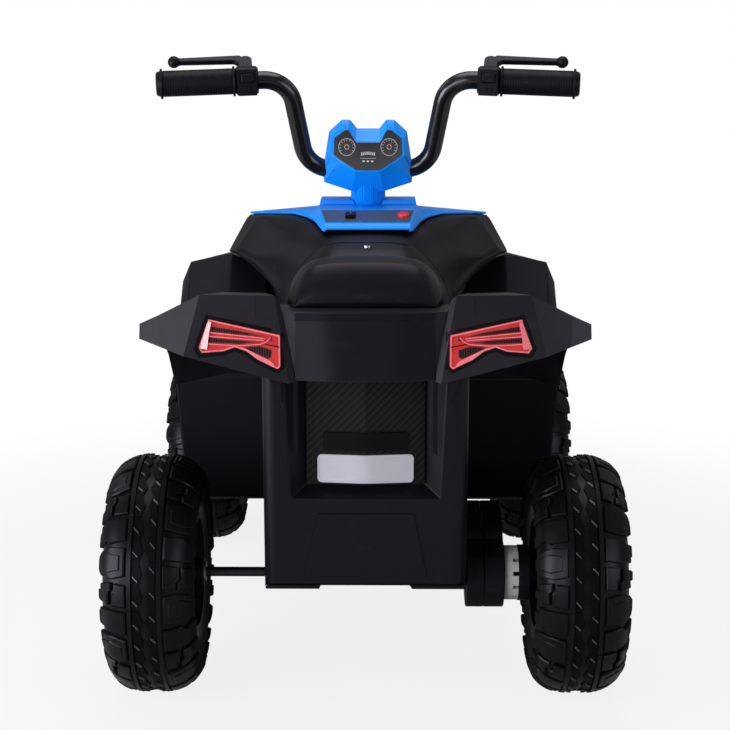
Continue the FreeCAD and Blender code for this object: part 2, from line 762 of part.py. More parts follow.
def height_of(lines, x, y):
    """The skin height of a set of end-view lines at (x, y), over its upper part."""
    for (y_back, back), (y_ahead, ahead) in zip(lines, lines[1:]):
        if y <= y_ahead:
            share = (y - y_back) / (y_ahead - y_back)
            break
    line = [(a[0] + (b[0] - a[0]) * share, a[1] + (b[1] - a[1]) * share) for a, b in zip(back, ahead)]
    for (xa, za), (xb, zb) in zip(line, line[1:]):
        if x <= xb or (xb, zb) == line[2]:
            return za + (zb - za) * (x - xa) / (xb - xa)
    return line[-1][1]


def build_tank():
    wall = num("skin")
    shell = along(body_lines(), wall)
    foot, axis = steering_line()
    hole = rod(foot, foot + axis * 600, num("steering_rod_diameter / 2 + 5.2"))
    keep(feature("tank_shell", solid_of(shell.cut(hole))), "tank_shell")


def cowl_stations():
    """Cowl lines: (y, deck half width, deck height, edge half width)."""
    deck = num("cowl_deck_width / 2")
    top = num("tank_height")
    back = num(TANK_REAR)
    return [
        (back + 26, deck - 13, top - 10.5, deck - 11),
        (back + 31, deck - 12, top - 5, deck - 8),
        (back + 83, deck - 4, top + 9, deck + 3),
        (back + 115, deck - 4, top + 11, deck + 16),
        (back + 138, deck - 5, top + 10.5, deck + 35),
        (back + 188, deck - 6, top + 4.5, num("tank_width / 2 - 33")),
        (back + 258, deck - 12, top - 3, num("tank_width / 2 - 31")),
        (back + 337, deck - 16, top - 14, num("tank_width / 2 - 43")),
        (front(57), deck - 22, top - 48, num("tank_width / 2 - 78")),
    ]


def cowl_block(inset, low, high):
    """The raised block of the cowl round the steering column, drawn in by a wall."""
    half = num("cowl_deck_width / 2") - inset
    back = num(TANK_REAR) + 136 + inset
    ahead = num(TANK_REAR) + 196 - inset
    top = up(num("tank_height"))
    slope = 3
    foot = [Vector(-half, back, top + low), Vector(half, back, top + low),
            Vector(half, ahead, top + low), Vector(-half, ahead, top + low)]
    head = [Vector(slope - half, back + slope, top + high), Vector(half - slope, back + slope, top + high),
            Vector(half - slope, ahead - slope, top + high), Vector(slope - half, ahead - slope, top + high)]
    return loft([foot, head])


def build_cowl():
    wall = num("skin")
    lines = body_lines()[:-1] + nose_lines()
    stations = []
    for y, deck, deck_top, edge in cowl_stations():
        rim = height_of(lines, edge, y) + wall + num("panel_gap") * 2
        stations.append((y, [(0, up(deck_top)), (deck, up(deck_top)), (edge, rim)]))
    shell = along(stations, wall)
    foot, axis = steering_line()
    shell = shell.cut(cowl_block(wall, -8, 13.5)).fuse(cowl_block(0, 0, 17).cut(cowl_block(wall, -8, 13.5)))
    hole = rod(foot, foot + axis * 600, num("stem_diameter / 2 + 1.5"))
    spot, normal, slope = panel_frame()
    button = num("power_button_diameter / 2 + panel_gap")
    button_hole = rod(spot + X_AXIS * 50 - normal * 20, spot + X_AXIS * 50 + normal * 20, button)
    switch_hole = Part.makeBox(14.6, 23, 40, Vector(-7.3, -11.5, -20))
    switch_hole.Placement = Placement(spot - X_AXIS * 24, Rotation(X_AXIS, slope))
    keep(feature("cowl", solid_of(shell.cut([hole, button_hole, switch_hole]))), "cowl")
    plate_half = num("cowl_deck_width / 2") - 11
    plate = loft([[Vector(-plate_half + 3, -21, level_z), Vector(plate_half - 3, -21, level_z),
                   Vector(plate_half + 4, 21, level_z),
                   Vector(-plate_half - 4, 21, level_z)] for level_z in (0.0, 1.5)])
    plate.Placement = Placement(spot, Rotation(X_AXIS, slope))
    keep(feature("control_panel", solid_of(plate.cut([button_hole, switch_hole]))), "control_panel")
    radius = num("power_button_diameter / 2")
    knob = spun([(-7, 0), (-7, radius + 2), (-4.4, radius + 2), (-4.4, radius), (4, radius),
                 (5, radius - 1.4), (5, 0)],
                spot + X_AXIS * 50, normal)
    keep(feature("power_button", knob), "power_button")
    side = [(-9.8, -2), (9.8, -2), (9.8, 4), (0, 3), (-9.8, 6.5)]
    corners = [Vector(-7, y, z) for y, z in side]
    rocker = Part.Face(Part.makePolygon(corners + corners[:1])).extrude(X_AXIS * 14)
    pivot = Part.makeCylinder(1.6, 18, Vector(-9, 0, -5.2), X_AXIS)
    web = Part.makeBox(14, 4, 5, Vector(-7, -2, -6.2))
    rocker = solid_of(rocker.fuse([pivot, web]))
    keep(feature("direction_switch", rocker, Placement(spot - X_AXIS * 24, Rotation(X_AXIS, slope))),
         "direction_switch")


def panel_frame():
    """Middle of the control panel on the cowl deck, the deck normal, and its slope in degrees."""
    low, high = cowl_stations()[1:3]
    rise = high[2] - low[2]
    run = high[0] - low[0]
    slope = math.degrees(math.atan2(rise, run))
    spot = Vector(0, low[0] + run * 0.5, up(low[2] + rise * 0.5))
    return spot, Rotation(X_AXIS, slope).multVec(Z_AXIS), slope


HEADLAMP_OUTLINE = ((40, 262), (88, 268), (96, 246), (84, 226), (46, 234))


def headlamp_block(sign, grow, start, end):
    return outline_block(HEADLAMP_OUTLINE, sign, grow, front(start), end - start)


def build_nose():
    wall = num("skin")
    shell = along(nose_lines(), wall)
    end_y, end_half = nose_lines()[-1]
    whole = [(-x, z) for x, z in end_half[:0:-1]] + end_half
    mask = loft([[Vector(x, end_y, z) for x, z in whole],
                 [Vector(x * 0.9, end_y + 8,
                         up(num("tank_height") - 175) + (z - up(num("tank_height") - 175)) * 0.9)
                  for x, z in whole]])
    shell = shell.fuse(mask)
    for sign in (-1, 1):
        shell = shell.cut(headlamp_block(sign, num("panel_gap / 2"), 120, 170))
    keep(feature("nose_panel", solid_of(shell)), "nose_panel")
    for sign, name in ((-1, "headlamp_left"), (1, "headlamp_right")):
        keep(feature(name, headlamp_block(sign, 0, 140, 162)), name)


def build_bumper():
    half = num("bumper_width / 2")
    back = num(FRONT_Y + " + tub_nose + panel_gap / 2")
    ahead = num(FRONT_Y + " + front_overhang - bumper_diameter / 2")
    low = up(82)
    high = up(176)
    points = [Vector(-half, back, low), Vector(-half, ahead, low), Vector(-half + 12, ahead, high),
              Vector(half - 12, ahead, high), Vector(half, ahead, low), Vector(half, back, low)]
    keep(feature("front_bumper", bent(points, 26, num("bumper_diameter / 2"))), "front_bumper")


# Wheels: each a hollow tyre, a moulded rim and a snap-on cap.
def build_wheel(name, sign, y, driven):
    half = "wheel_width / 2"
    radius = "wheel_diameter / 2"
    bead = "rim_diameter / 2"
    shoulder = "(" + radius + " - tyre_shoulder)"
    crown = "((wheel_width * wheel_width / 4 + tyre_shoulder * tyre_shoulder) / (2 * tyre_shoulder))"
    x = WHEEL_X if sign > 0 else "-" + WHEEL_X
    flip = "" if sign > 0 else "-"

    def corner(along_text, radius_text, arc=None):
        spot = flip + "(" + along_text + ")" if along_text != "0" else "0"
        return (spot, radius_text) if arc is None else (spot, radius_text, ("" if sign > 0 else "-") + arc)

    tyre = turned(name + "_tyre", [
        corner("-" + half, shoulder),
        corner(half, shoulder, crown),
        corner(half + " - 11", bead),
        corner(half + " - 18", bead),
        corner(half + " - tyre_wall", shoulder),
        corner("tyre_wall - " + half, shoulder, "(tyre_wall - " + crown + ")"),
        corner("18 - " + half, bead),
        corner("11 - " + half, bead),
    ], x, y, AXLE_Z)
    keep(tyre, name + "_tyre")
    bore = "(axle_diameter / 2 + shaft_play)"
    inside = "(" + bead + " - rim_wall)"
    hub = "hub_diameter / 2"
    hub_start = "-(wheel_width / 2 + 12)" if driven else "-(wheel_width / 2 - 2)"
    outline = [corner(hub_start, bore)]
    if driven:
        outline += [corner(hub_start, "drive_flange_diameter / 2"),
                    corner("-(wheel_width / 2 - 2)", "drive_flange_diameter / 2")]
    outline += [
        corner("-(wheel_width / 2 - 2)", hub),
        corner("14", hub),
        corner("14", inside),
        corner("-" + half + " + 9", inside),
        corner("-" + half + " + 9", bead),
        corner(half + " - 9", bead),
        corner(half + " - 9", inside),
        corner("20", inside),
        corner("20", hub),
        corner("35", hub),
        corner("35", bore),
    ]
    rim = turned(name + "_rim", outline, x, y, AXLE_Z)
    window = rim.newObject("PartDesign::Pocket", name + "_window")
    hole_sketch = rim.newObject("Sketcher::SketchObject", name + "_window_outline")
    plane = [item for item in rim.Origin.OriginFeatures if item.Role == "YZ_Plane"][0]
    hole_sketch.AttachmentSupport = [(plane, "")]
    hole_sketch.MapMode = "FlatFace"
    reach = "(rim_diameter / 4 - rim_wall / 2 + cap_diameter / 4 + 1)"
    circle = hole_sketch.addGeometry(Part.Circle(Vector(0, num(reach), 0), Z_AXIS, 13), False)
    spot = hole_sketch.addConstraint(Sketcher.Constraint("Radius", circle, 13))
    hole_sketch.setExpression("Constraints[%d]" % spot,
                              bound("rim_diameter / 4 - rim_wall / 2 - cap_diameter / 4 - 5"))
    hole_sketch.addConstraint(Sketcher.Constraint("PointOnObject", circle, 3, -2))
    spot = hole_sketch.addConstraint(Sketcher.Constraint("DistanceY", -1, 1, circle, 3, num(reach)))
    hole_sketch.setExpression("Constraints[%d]" % spot, bound(reach))
    window.Profile = hole_sketch
    window.SideType = "Symmetric"
    bind(window, Length="60")
    pattern = rim.newObject("PartDesign::PolarPattern", name + "_windows")
    pattern.Originals = [window]
    spin_axis = [item for item in rim.Origin.OriginFeatures if item.Role == "X_Axis"][0]
    pattern.Axis = (spin_axis, [""])
    pattern.Angle = 360
    pattern.Occurrences = 6
    rim.Tip = pattern
    keep(rim, name + "_rim")
    cap = "cap_diameter / 2"
    keep(turned(name + "_cap", [
        corner("20", cap),
        corner("48", cap + " - 2"),
        corner("52", cap + " - 8"),
        corner("52", "0"),
        corner("49.5", "0"),
        corner("49.5", cap + " - 9.5"),
        corner("46.5", cap + " - 4.5"),
        corner("20", cap + " - 2.5"),
    ], x, y, AXLE_Z), name + "_cap")


def hex_nut(name, x, y):
    nut = doc.addObject("Part::Prism", name + "_hex")
    nut.Polygon = 6
    nut.Placement = Placement(Vector(), ALONG["X"])
    bind(nut, Circumradius="axle_diameter * 0.88", Height="8")
    place(nut, x, y, AXLE_Z)
    return cut(name, nut,
               cylinder(name + "_bore", "axle_diameter / 2 + shaft_play", "10", x + " - 1", y, AXLE_Z))


def washer(name, x, y, thickness):
    disc = cylinder(name + "_disc", "axle_diameter / 2 + 6", thickness, x, y, AXLE_Z)
    return cut(name, disc, cylinder(name + "_bore", "axle_diameter / 2 + shaft_play", thickness + " + 2",
                                    x + " - 1", y, AXLE_Z))


def build_rear_axle(extras):
    keep(cylinder("rear_axle", "axle_diameter / 2", "2 * " + AXLE_END, "-" + AXLE_END, REAR_Y, AXLE_Z),
         "rear_axle")
    outer = "(" + WHEEL_X + " + 35 + panel_gap)"
    pieces = [
        washer("washer_right", outer, REAR_Y, "1.6"),
        hex_nut("nut_right", outer + " + 1.6", REAR_Y),
        washer("washer_left", "-" + outer + " - 1.6", REAR_Y, "1.6"),
        hex_nut("nut_left", "-" + outer + " - 9.6", REAR_Y),
        washer("stop_left", "wheel_width / 2 - 2 - " + WHEEL_X + " + panel_gap", REAR_Y, "2"),
    ]
    keep(group("fasteners", *(pieces + extras)), "fasteners")


# Drive on the right rear wheel: motor pinion, reduction gear, output gear.
def gear_places():
    """Axis heights and reaches of the train, ahead of and above the rear axle."""
    module = num("gear_module")
    first = module * (num("output_teeth") + num("pinion_teeth")) / 2
    second = module * (num("reduction_teeth") + num("pinion_teeth")) / 2
    idle = (first * math.cos(math.radians(40)), first * math.sin(math.radians(40)))
    motor = (idle[0] + second * math.cos(math.radians(30)), idle[1] + second * math.sin(math.radians(30)))
    return idle, motor


IDLE_Y = REAR_Y + " + gear_module * (output_teeth + pinion_teeth) / 2 * cos(40)"
IDLE_Z = AXLE_Z + " + gear_module * (output_teeth + pinion_teeth) / 2 * sin(40)"


def motor_place():
    return (IDLE_Y + " + gear_module * (reduction_teeth + pinion_teeth) / 2 * cos(30)",
            IDLE_Z + " + gear_module * (reduction_teeth + pinion_teeth) / 2 * sin(30)")


def gear(teeth, start, width, y, z, toward, tooth_there):
    """A spur gear on an axis along X, a tooth or a gap facing the given angle in the YZ plane."""
    module = num("gear_module")
    pressure = math.radians(25)
    pitch = module * teeth / 2
    base = pitch * math.cos(pressure)
    outer = pitch + 0.8 * module
    root = pitch - 1.1 * module
    slack = 0.2 / pitch
    involute = lambda angle: math.tan(angle) - angle
    half_tooth = math.pi / (2 * teeth) - slack + involute(pressure)
    flank = []
    for step in range(5):
        radius = max(root, base) + (outer - max(root, base)) * step / 4
        flank.append((radius, half_tooth - involute(math.acos(min(1, base / radius)))))
    flank.insert(0, (root, min(flank[0][1] + 0.02, 0.92 * math.pi / teeth)))
    corners = []
    for index in range(int(teeth)):
        middle = toward + (index + (0 if tooth_there else 0.5)) * 2 * math.pi / teeth
        turns = [(radius, middle - spread) for radius, spread in flank]
        turns += [(radius, middle + spread) for radius, spread in flank[::-1]]
        corners += [Vector(start, y + radius * math.cos(turn), z + radius * math.sin(turn)) for radius,
                    turn in turns]
    return Part.Face(Part.makePolygon(corners + corners[:1])).extrude(X_AXIS * width)


def build_drive():
    idle, motor = gear_places()
    axle_y, axle_z = rear(0), up(0)
    begin = num("gearbox_start")
    split = num(GEAR_SPLIT)
    end = num(GEARBOX_END)
    play = num("shaft_play")
    toward_idle = math.radians(40)
    toward_motor = math.radians(30)
    bore = num("axle_diameter / 2") + play
    stage = split + 1
    face = end - split - 11
    output = gear(num("output_teeth"), stage, face, axle_y, axle_z, toward_idle, False)
    hub_start = Vector(begin + 4, axle_y, axle_z)
    drive_face = num(DRIVE_FACE)
    reach = num("drive_flange_diameter / 2") - 1
    hub = rod(hub_start, Vector(end + 2, axle_y, axle_z), bore + 6)
    disc = rod(Vector(end + 1, axle_y, axle_z), Vector(end + 9, axle_y, axle_z), reach)
    dogs = rod(Vector(end + 8, axle_y, axle_z), Vector(drive_face, axle_y, axle_z), reach)
    hollow = rod(Vector(end + 9, axle_y, axle_z), Vector(drive_face + 1, axle_y, axle_z), reach - 9)
    slots = []
    for index in range(6):
        slot = Part.makeBox(drive_face - end, 2 * reach + 10, 5, Vector(end + 11, -reach - 5, -2.5))
        slot.Placement = Placement(Vector(0, axle_y, axle_z), Rotation(X_AXIS, 15 + 30 * index))
        slots.append(slot)
    ring = dogs.cut([hollow] + slots)
    whole = output.fuse([hub, disc, ring])
    passage = rod(hub_start - X_AXIS * 10, Vector(drive_face + 10, axle_y, axle_z), bore)
    keep(feature("output_gear", solid_of(whole.cut(passage))), "output_gear")
    idle_y, idle_z = axle_y + idle[0], axle_z + idle[1]
    small = gear(num("pinion_teeth"), split - 3, face + 5, idle_y, idle_z, toward_idle + math.pi, True)
    large = gear(num("reduction_teeth"), begin + 6, split - begin - 9, idle_y, idle_z, toward_motor, False)
    pin = rod(Vector(begin + 2, idle_y, idle_z), Vector(end - 2, idle_y, idle_z), 3 + play)
    keep(feature("reduction_gear", solid_of(large.fuse(small).cut(pin))), "reduction_gear")
    motor_y, motor_z = axle_y + motor[0], axle_z + motor[1]
    pinion = gear(num("pinion_teeth"), begin + 5, split - begin - 6, motor_y, motor_z,
                  toward_motor + math.pi, True)
    shaft = rod(Vector(begin - 18, motor_y, motor_z), Vector(begin + 6, motor_y, motor_z), 2)
    keep(feature("motor_pinion", solid_of(pinion.fuse(shaft))), "motor_pinion")


def lobes(name, start, length, inset):
    """Three joined rounds over the three gear axes."""
    motor_y, motor_z = motor_place()
    output_radius = "(gear_module * output_teeth / 2 + 7 - " + inset + ")"
    idle_radius = "(gear_module * reduction_teeth / 2 + 7 - " + inset + ")"
    motor_radius = "(gear_module * pinion_teeth / 2 + 11 - " + inset + ")"
    return fuse(name,
                cylinder(name + "_output", output_radius, length, start, REAR_Y, AXLE_Z),
                cylinder(name + "_idle", idle_radius, length, start, IDLE_Y, IDLE_Z),
                cylinder(name + "_motor", motor_radius, length, start, motor_y, motor_z))


def build_gearbox():
    motor_y, motor_z = motor_place()
    axle_hole = "axle_diameter / 2 + shaft_play"
    inner_length = "(" + GEAR_SPLIT + " - gearbox_start)"
    inner = cut("gearbox_inner_shell", lobes("gearbox_inner_outside", "gearbox_start", inner_length, "0"),
                lobes("gearbox_inner_inside", "gearbox_start + skin", inner_length, "skin"))
    spigot = cylinder("gearbox_spigot", "axle_diameter / 2 + 7",
                      "gearbox_start - tub_width / 2 - panel_gap / 2 + 1",
                      "tub_width / 2 + panel_gap / 2", REAR_Y, AXLE_Z)
    pin = cylinder("gearbox_pin", "3", "gearbox_width - skin - 1", "gearbox_start + 1", IDLE_Y, IDLE_Z)
    joined = fuse("gearbox_inner_joined", inner, spigot, pin)
    through = cylinder("gearbox_axle_bore", axle_hole, "gearbox_width", "gearbox_start - 20", REAR_Y,
                       AXLE_Z)
    nose = cylinder("gearbox_motor_bore", "4", "20", "gearbox_start - 5", motor_y, motor_z)
    keep(cut("gearbox_inner", joined, through, nose), "gearbox_inner")
    outer_length = "(" + GEARBOX_END + " - " + GEAR_SPLIT + ")"
    outer = cut("gearbox_outer_shell", lobes("gearbox_outer_outside", GEAR_SPLIT, outer_length, "0"),
                lobes("gearbox_outer_inside", GEAR_SPLIT + " - skin", outer_length, "skin"))
    exit_hole = cylinder("gearbox_output_bore", axle_hole + " + 6.4", "20", GEARBOX_END + " - 10", REAR_Y,
                         AXLE_Z)
    keep(cut("gearbox_outer", outer, exit_hole), "gearbox_outer")
    can = cylinder("motor_can", "motor_diameter / 2", "motor_length", "gearbox_start - motor_length",
                   motor_y, motor_z)
    tail = cylinder("motor_tail", "6", "6", "gearbox_start - motor_length - 5", motor_y, motor_z)
    shaft_hole = cylinder("motor_shaft_hole", "2.3", "30", "gearbox_start - 20", motor_y, motor_z)
    keep(cut("drive_motor", fuse("motor_body", can, tail), shaft_hole), "drive_motor")


def build_battery():
    case = box("battery_case", "battery_width", "battery_length", "battery_height",
               "-battery_width / 2 - 40",
               WELL_REAR + " - 60", AXLE_Z + " - tub_drop + tub_wall")
    posts = [box("battery_post_" + name, "5", "8", "7", x, WELL_REAR + " - 50",
                 AXLE_Z + " - tub_drop + tub_wall + battery_height - 1")
             for name, x in (("low", "-battery_width / 2 - 32"), ("high", "battery_width / 2 - 53"))]
    keep(fuse("battery", case, *posts), "battery")


# Front suspension-free axle, knuckles, tie rod and steering rod.
def build_front_axle():
    beam_top = AXLE_Z + " - 16"
    beam = box("beam_bar", "2 * " + KINGPIN_X, "22", "16", "-" + KINGPIN_X, FRONT_Y + " - 11",
               beam_top + " - 16")
    pieces = [beam]
    for sign, name in (("-", "left"), ("", "right")):
        pieces.append(cylinder("beam_sleeve_" + name, "kingpin_diameter / 2 + 5", "28", sign + KINGPIN_X,
                               FRONT_Y,
                               AXLE_Z + " - 40", "Z"))
        pieces.append(box("beam_leg_" + name, "14", "22", "front_floor + 18 - panel_gap / 2",
                          sign + "70 - 7",
                          FRONT_Y + " - 11", beam_top + " - 2"))
    holes = [cylinder("beam_hole_" + name, "kingpin_diameter / 2 + shaft_play", "60", sign + KINGPIN_X,
                      FRONT_Y,
                      AXLE_Z + " - 55", "Z") for sign, name in (("-", "left"), ("", "right"))]
    keep(cut("front_axle_beam", fuse("beam_welded", *pieces), *holes), "front_axle_beam")


def build_knuckle(name, sign):
    pin_x = KINGPIN_X if sign > 0 else "-" + KINGPIN_X
    stub_length = "(" + AXLE_END + " - " + KINGPIN_X + ")"
    stub_x = pin_x if sign > 0 else "-" + AXLE_END
    pin = cylinder(name + "_pin", "kingpin_diameter / 2", "58", pin_x, FRONT_Y, AXLE_Z + " - 50", "Z")
    collar = cylinder(name + "_collar", "kingpin_diameter / 2 + 4", "22", pin_x, FRONT_Y,
                      AXLE_Z + " - 11.7", "Z")
    foot = cylinder(name + "_foot", "kingpin_diameter / 2 + 3", "6", pin_x, FRONT_Y, AXLE_Z + " - 46.4",
                    "Z")
    stub = cylinder(name + "_stub", "axle_diameter / 2", stub_length, stub_x, FRONT_Y, AXLE_Z)
    arm = box(name + "_arm", "12", "steering_arm", "8", pin_x + " - 6", ARM_Y, AXLE_Z + " + 2")
    ball = cylinder(name + "_eye", "8", "8", pin_x, ARM_Y, AXLE_Z + " + 2", "Z")
    peg = cylinder(name + "_peg", "4", "18", pin_x, ARM_Y, AXLE_Z + " - 8", "Z")
    keep(fuse(name, pin, collar, foot, stub, arm, ball, peg), name)


def build_tie_rod():
    half = num(KINGPIN_X)
    y = num(ARM_Y)
    z = up(0) - 4
    thickness = num("tie_rod_diameter")
    play = num("shaft_play")
    radius = thickness / 2 - 1.5
    bar = rod(Vector(-half, y, z), Vector(half, y, z), radius)
    eyes = [Part.makeCylinder(8, 8, Vector(sign * half, y, z - 3)) for sign in (-1, 1)]
    ball = num("ball_diameter / 2")
    block = Part.makeBox(2 * ball + 16, 2 * ball + 18, 10, Vector(-ball - 8, y - ball - 9, z - 5))
    room = ball + num("link_play")
    slot = Part.makeBox(2 * room, 2 * (ball + 3), 30, Vector(-room, y - ball - 3, z - 15))
    holes = [Part.makeCylinder(4 + play, 40, Vector(sign * half, y, z - 20)) for sign in (-1, 1)]
    keep(feature("tie_rod", solid_of(bar.fuse(eyes + [block]).cut([slot] + holes))), "tie_rod")


def bar_points():
    """Corner points of the right half of the handlebar, from the clamp to its end."""
    rise = num("bar_rise")
    clamp = on_steering_line(465)
    half = num("bar_span / 2")
    return [
        Vector(0, clamp.y, clamp.z + 3),
        Vector(88, clamp.y - 5, clamp.z + 13),
        Vector(111, clamp.y - 5 - rise * 0.36, clamp.z + 13 + rise),
        Vector(half, clamp.y - 25 - rise * 0.36, clamp.z + 7 + rise),
    ]


def flipped(points):
    return [Vector(-point.x, point.y, point.z) for point in points]


def bar_path():
    right = bar_points()
    return flipped(right[:0:-1]) + right


def build_steering_rod():
    foot, axis = steering_line()
    radius = num("steering_rod_diameter / 2")
    arm = num("steering_arm")
    clamp = bar_points()[0]
    head = foot + axis * (clamp - foot).dot(axis)
    shaft = rod(foot - axis * 4, head, radius)
    rake = math.radians(num("rake_angle"))
    back = Vector(0, -math.cos(rake), -math.sin(rake))
    crank = Part.makeBox(18, arm, 10, Vector(-9, 0, -5))
    crank.Placement = Placement(foot + axis * 14, Rotation(X_AXIS, 180 + num("rake_angle")))
    boss = rod(foot - axis * 2, foot + axis * 16, radius + 6)
    tip = foot + back * arm
    ball = Part.makeSphere(num("ball_diameter / 2"), tip - Z_AXIS * 2)
    neck = rod(tip - Z_AXIS * 2, tip + Z_AXIS * 17, 3)
    clamp_half = 26
    clamp_block = rod(clamp - X_AXIS * clamp_half, clamp + X_AXIS * clamp_half, num("bar_diameter / 2") + 4)
    whole = shaft.fuse([crank, boss, ball, neck, clamp_block])
    bar = bent(bar_path(), 42, num("bar_diameter / 2"))
    keep(feature("steering_rod", solid_of(whole.cut(bar))), "steering_rod")


def build_handlebar():
    outside = bent(bar_path(), 42, num("bar_diameter / 2"))
    inside = bent(bar_path(), 42, num("bar_diameter / 2 - bar_wall"))
    keep(feature("handlebar", outside.cut(inside)), "handlebar")


def build_bushes():
    foot, axis = steering_line()
    radius = num("steering_rod_diameter / 2")
    pieces = []
    floor = on_steering_line(num("front_floor"))
    tank = on_steering_line(height_of(body_lines(), 0, on_steering_line(num("tank_height")).y) - up(0))
    for index, spot in enumerate((floor, tank)):
        bore = radius + num("shaft_play")
        ring = spun([(-8, bore), (12, bore), (12, radius + 5), (-8, radius + 5)], spot, axis)
        pieces.append(feature("steering_bush_%d" % index, ring))
    keep(group("steering_bushes", *pieces), "steering_bushes")


# Handlebar cover with its stem, and the gauge film let into its face.
def dash_outline(back):
    half = num("dash_width / 2")
    tall = num("dash_height")
    low = on_steering_line(442).z
    if back:
        shape = ((0, 0.88), (0.25, 0.88), (0.4, 1.0), (0.58, 1.0), (0.86, 0.84), (1.0, 0.29), (0.97, 0.13),
                 (0.34, 0.0), (0, 0.0))
    else:
        shape = ((0, 0.71), (0.28, 0.71), (0.46, 0.89), (0.54, 0.89), (0.79, 0.77), (0.8, 0.53),
                 (0.6, 0.44), (0.27, 0.31), (0, 0.31))
    return [(x * half, low + z * tall) for x, z in shape]


def dash_section(outline, y_at):
    whole = [(-x, z) for x, z in outline[-2:0:-1]] + outline
    return [Vector(x, y_at(z), z) for x, z in whole]


def dash_face(z):
    """Y of the tilted gauge face at a height."""
    return on_steering_line(455).y - 50 + (z - on_steering_line(474).z) * 0.4


def shrunk(outline, wall):
    middle = sum(z for x, z in outline) / len(outline)
    scale = 1 - wall / num("dash_width / 2")
    return [(x * scale, middle + (z - middle) * (1 - 2.2 * wall / num("dash_height"))) for x, z in outline]


def build_dash():
    wall = num("skin")
    rim_y = on_steering_line(455).y - 15
    back_y = rim_y + 56
    rim = dash_outline(True)
    tail = [(x * 0.78, on_steering_line(492).z + (z - on_steering_line(492).z) * 0.8) for x, z in rim]
    outer = loft([dash_section(dash_outline(False), dash_face), dash_section(rim, lambda z: rim_y),
                  dash_section(tail, lambda z: back_y)])
    inner = loft([dash_section(shrunk(dash_outline(False), wall), lambda z: dash_face(z) + wall),
                  dash_section(shrunk(rim, wall), lambda z: rim_y),
                  dash_section(shrunk(tail, wall), lambda z: back_y - wall)])
    foot, axis = steering_line()
    stem_foot = on_steering_line(num("tank_height") + 18)
    stem_head = on_steering_line(468)
    stem = rod(stem_foot, stem_head, num("stem_diameter / 2"))
    stem_hole = rod(stem_foot - axis * 1, stem_head + axis * 12, num("stem_diameter / 2") - wall)
    shell = outer.fuse(stem).cut([inner, stem_hole,
                                  bent(bar_path(), 42, num("bar_diameter / 2 + panel_gap / 2"))])
    pieces = sorted(shell.Solids, key=lambda solid: solid.Volume)
    keep(feature("dash_housing", pieces[-1]), "dash_housing")
    film = [(x * 0.93, on_steering_line(497).z + (z - on_steering_line(497).z) * 0.93) for x,
            z in dash_outline(False)]
    panel = loft([dash_section(film, lambda z: dash_face(z) - 1.4), dash_section(film, dash_face)])
    keep(feature("gauge_panel", panel), "gauge_panel")


def grip_frame():
    """Inner end of the right grip on the bar's middle line, and the way outward."""
    corner, end = bar_points()[2:]
    outward = (end - corner).normalize()
    return end - outward * num("grip_length"), outward


def lever_frame():
    """Middle of the right switch housing, the ways outward and to the lever, and the pivot axis."""
    spot, outward = grip_frame()
    spot = spot - outward * num("housing_length / 2")
    tilt = Vector(0, 0.8, 0.6)
    reach = (tilt - outward * tilt.dot(outward)).normalize()
    return spot, outward, reach, outward.cross(reach)


def in_frame(shape, origin, first, second):
    """Moves a shape drawn with X along first and Y along second."""
    third = first.cross(second)
    matrix = FreeCAD.Matrix(first.x, second.x, third.x, origin.x, first.y, second.y, third.y, origin.y,
                            first.z, second.z, third.z, origin.z, 0, 0, 0, 1)
    moved = shape.copy()
    moved.Placement = Placement(matrix)
    return moved


def keep_pair(name, shape):
    keep(feature(name + "_right", shape), name + "_right")
    keep(feature(name + "_left", shape.mirror(Vector(), X_AXIS)), name + "_left")


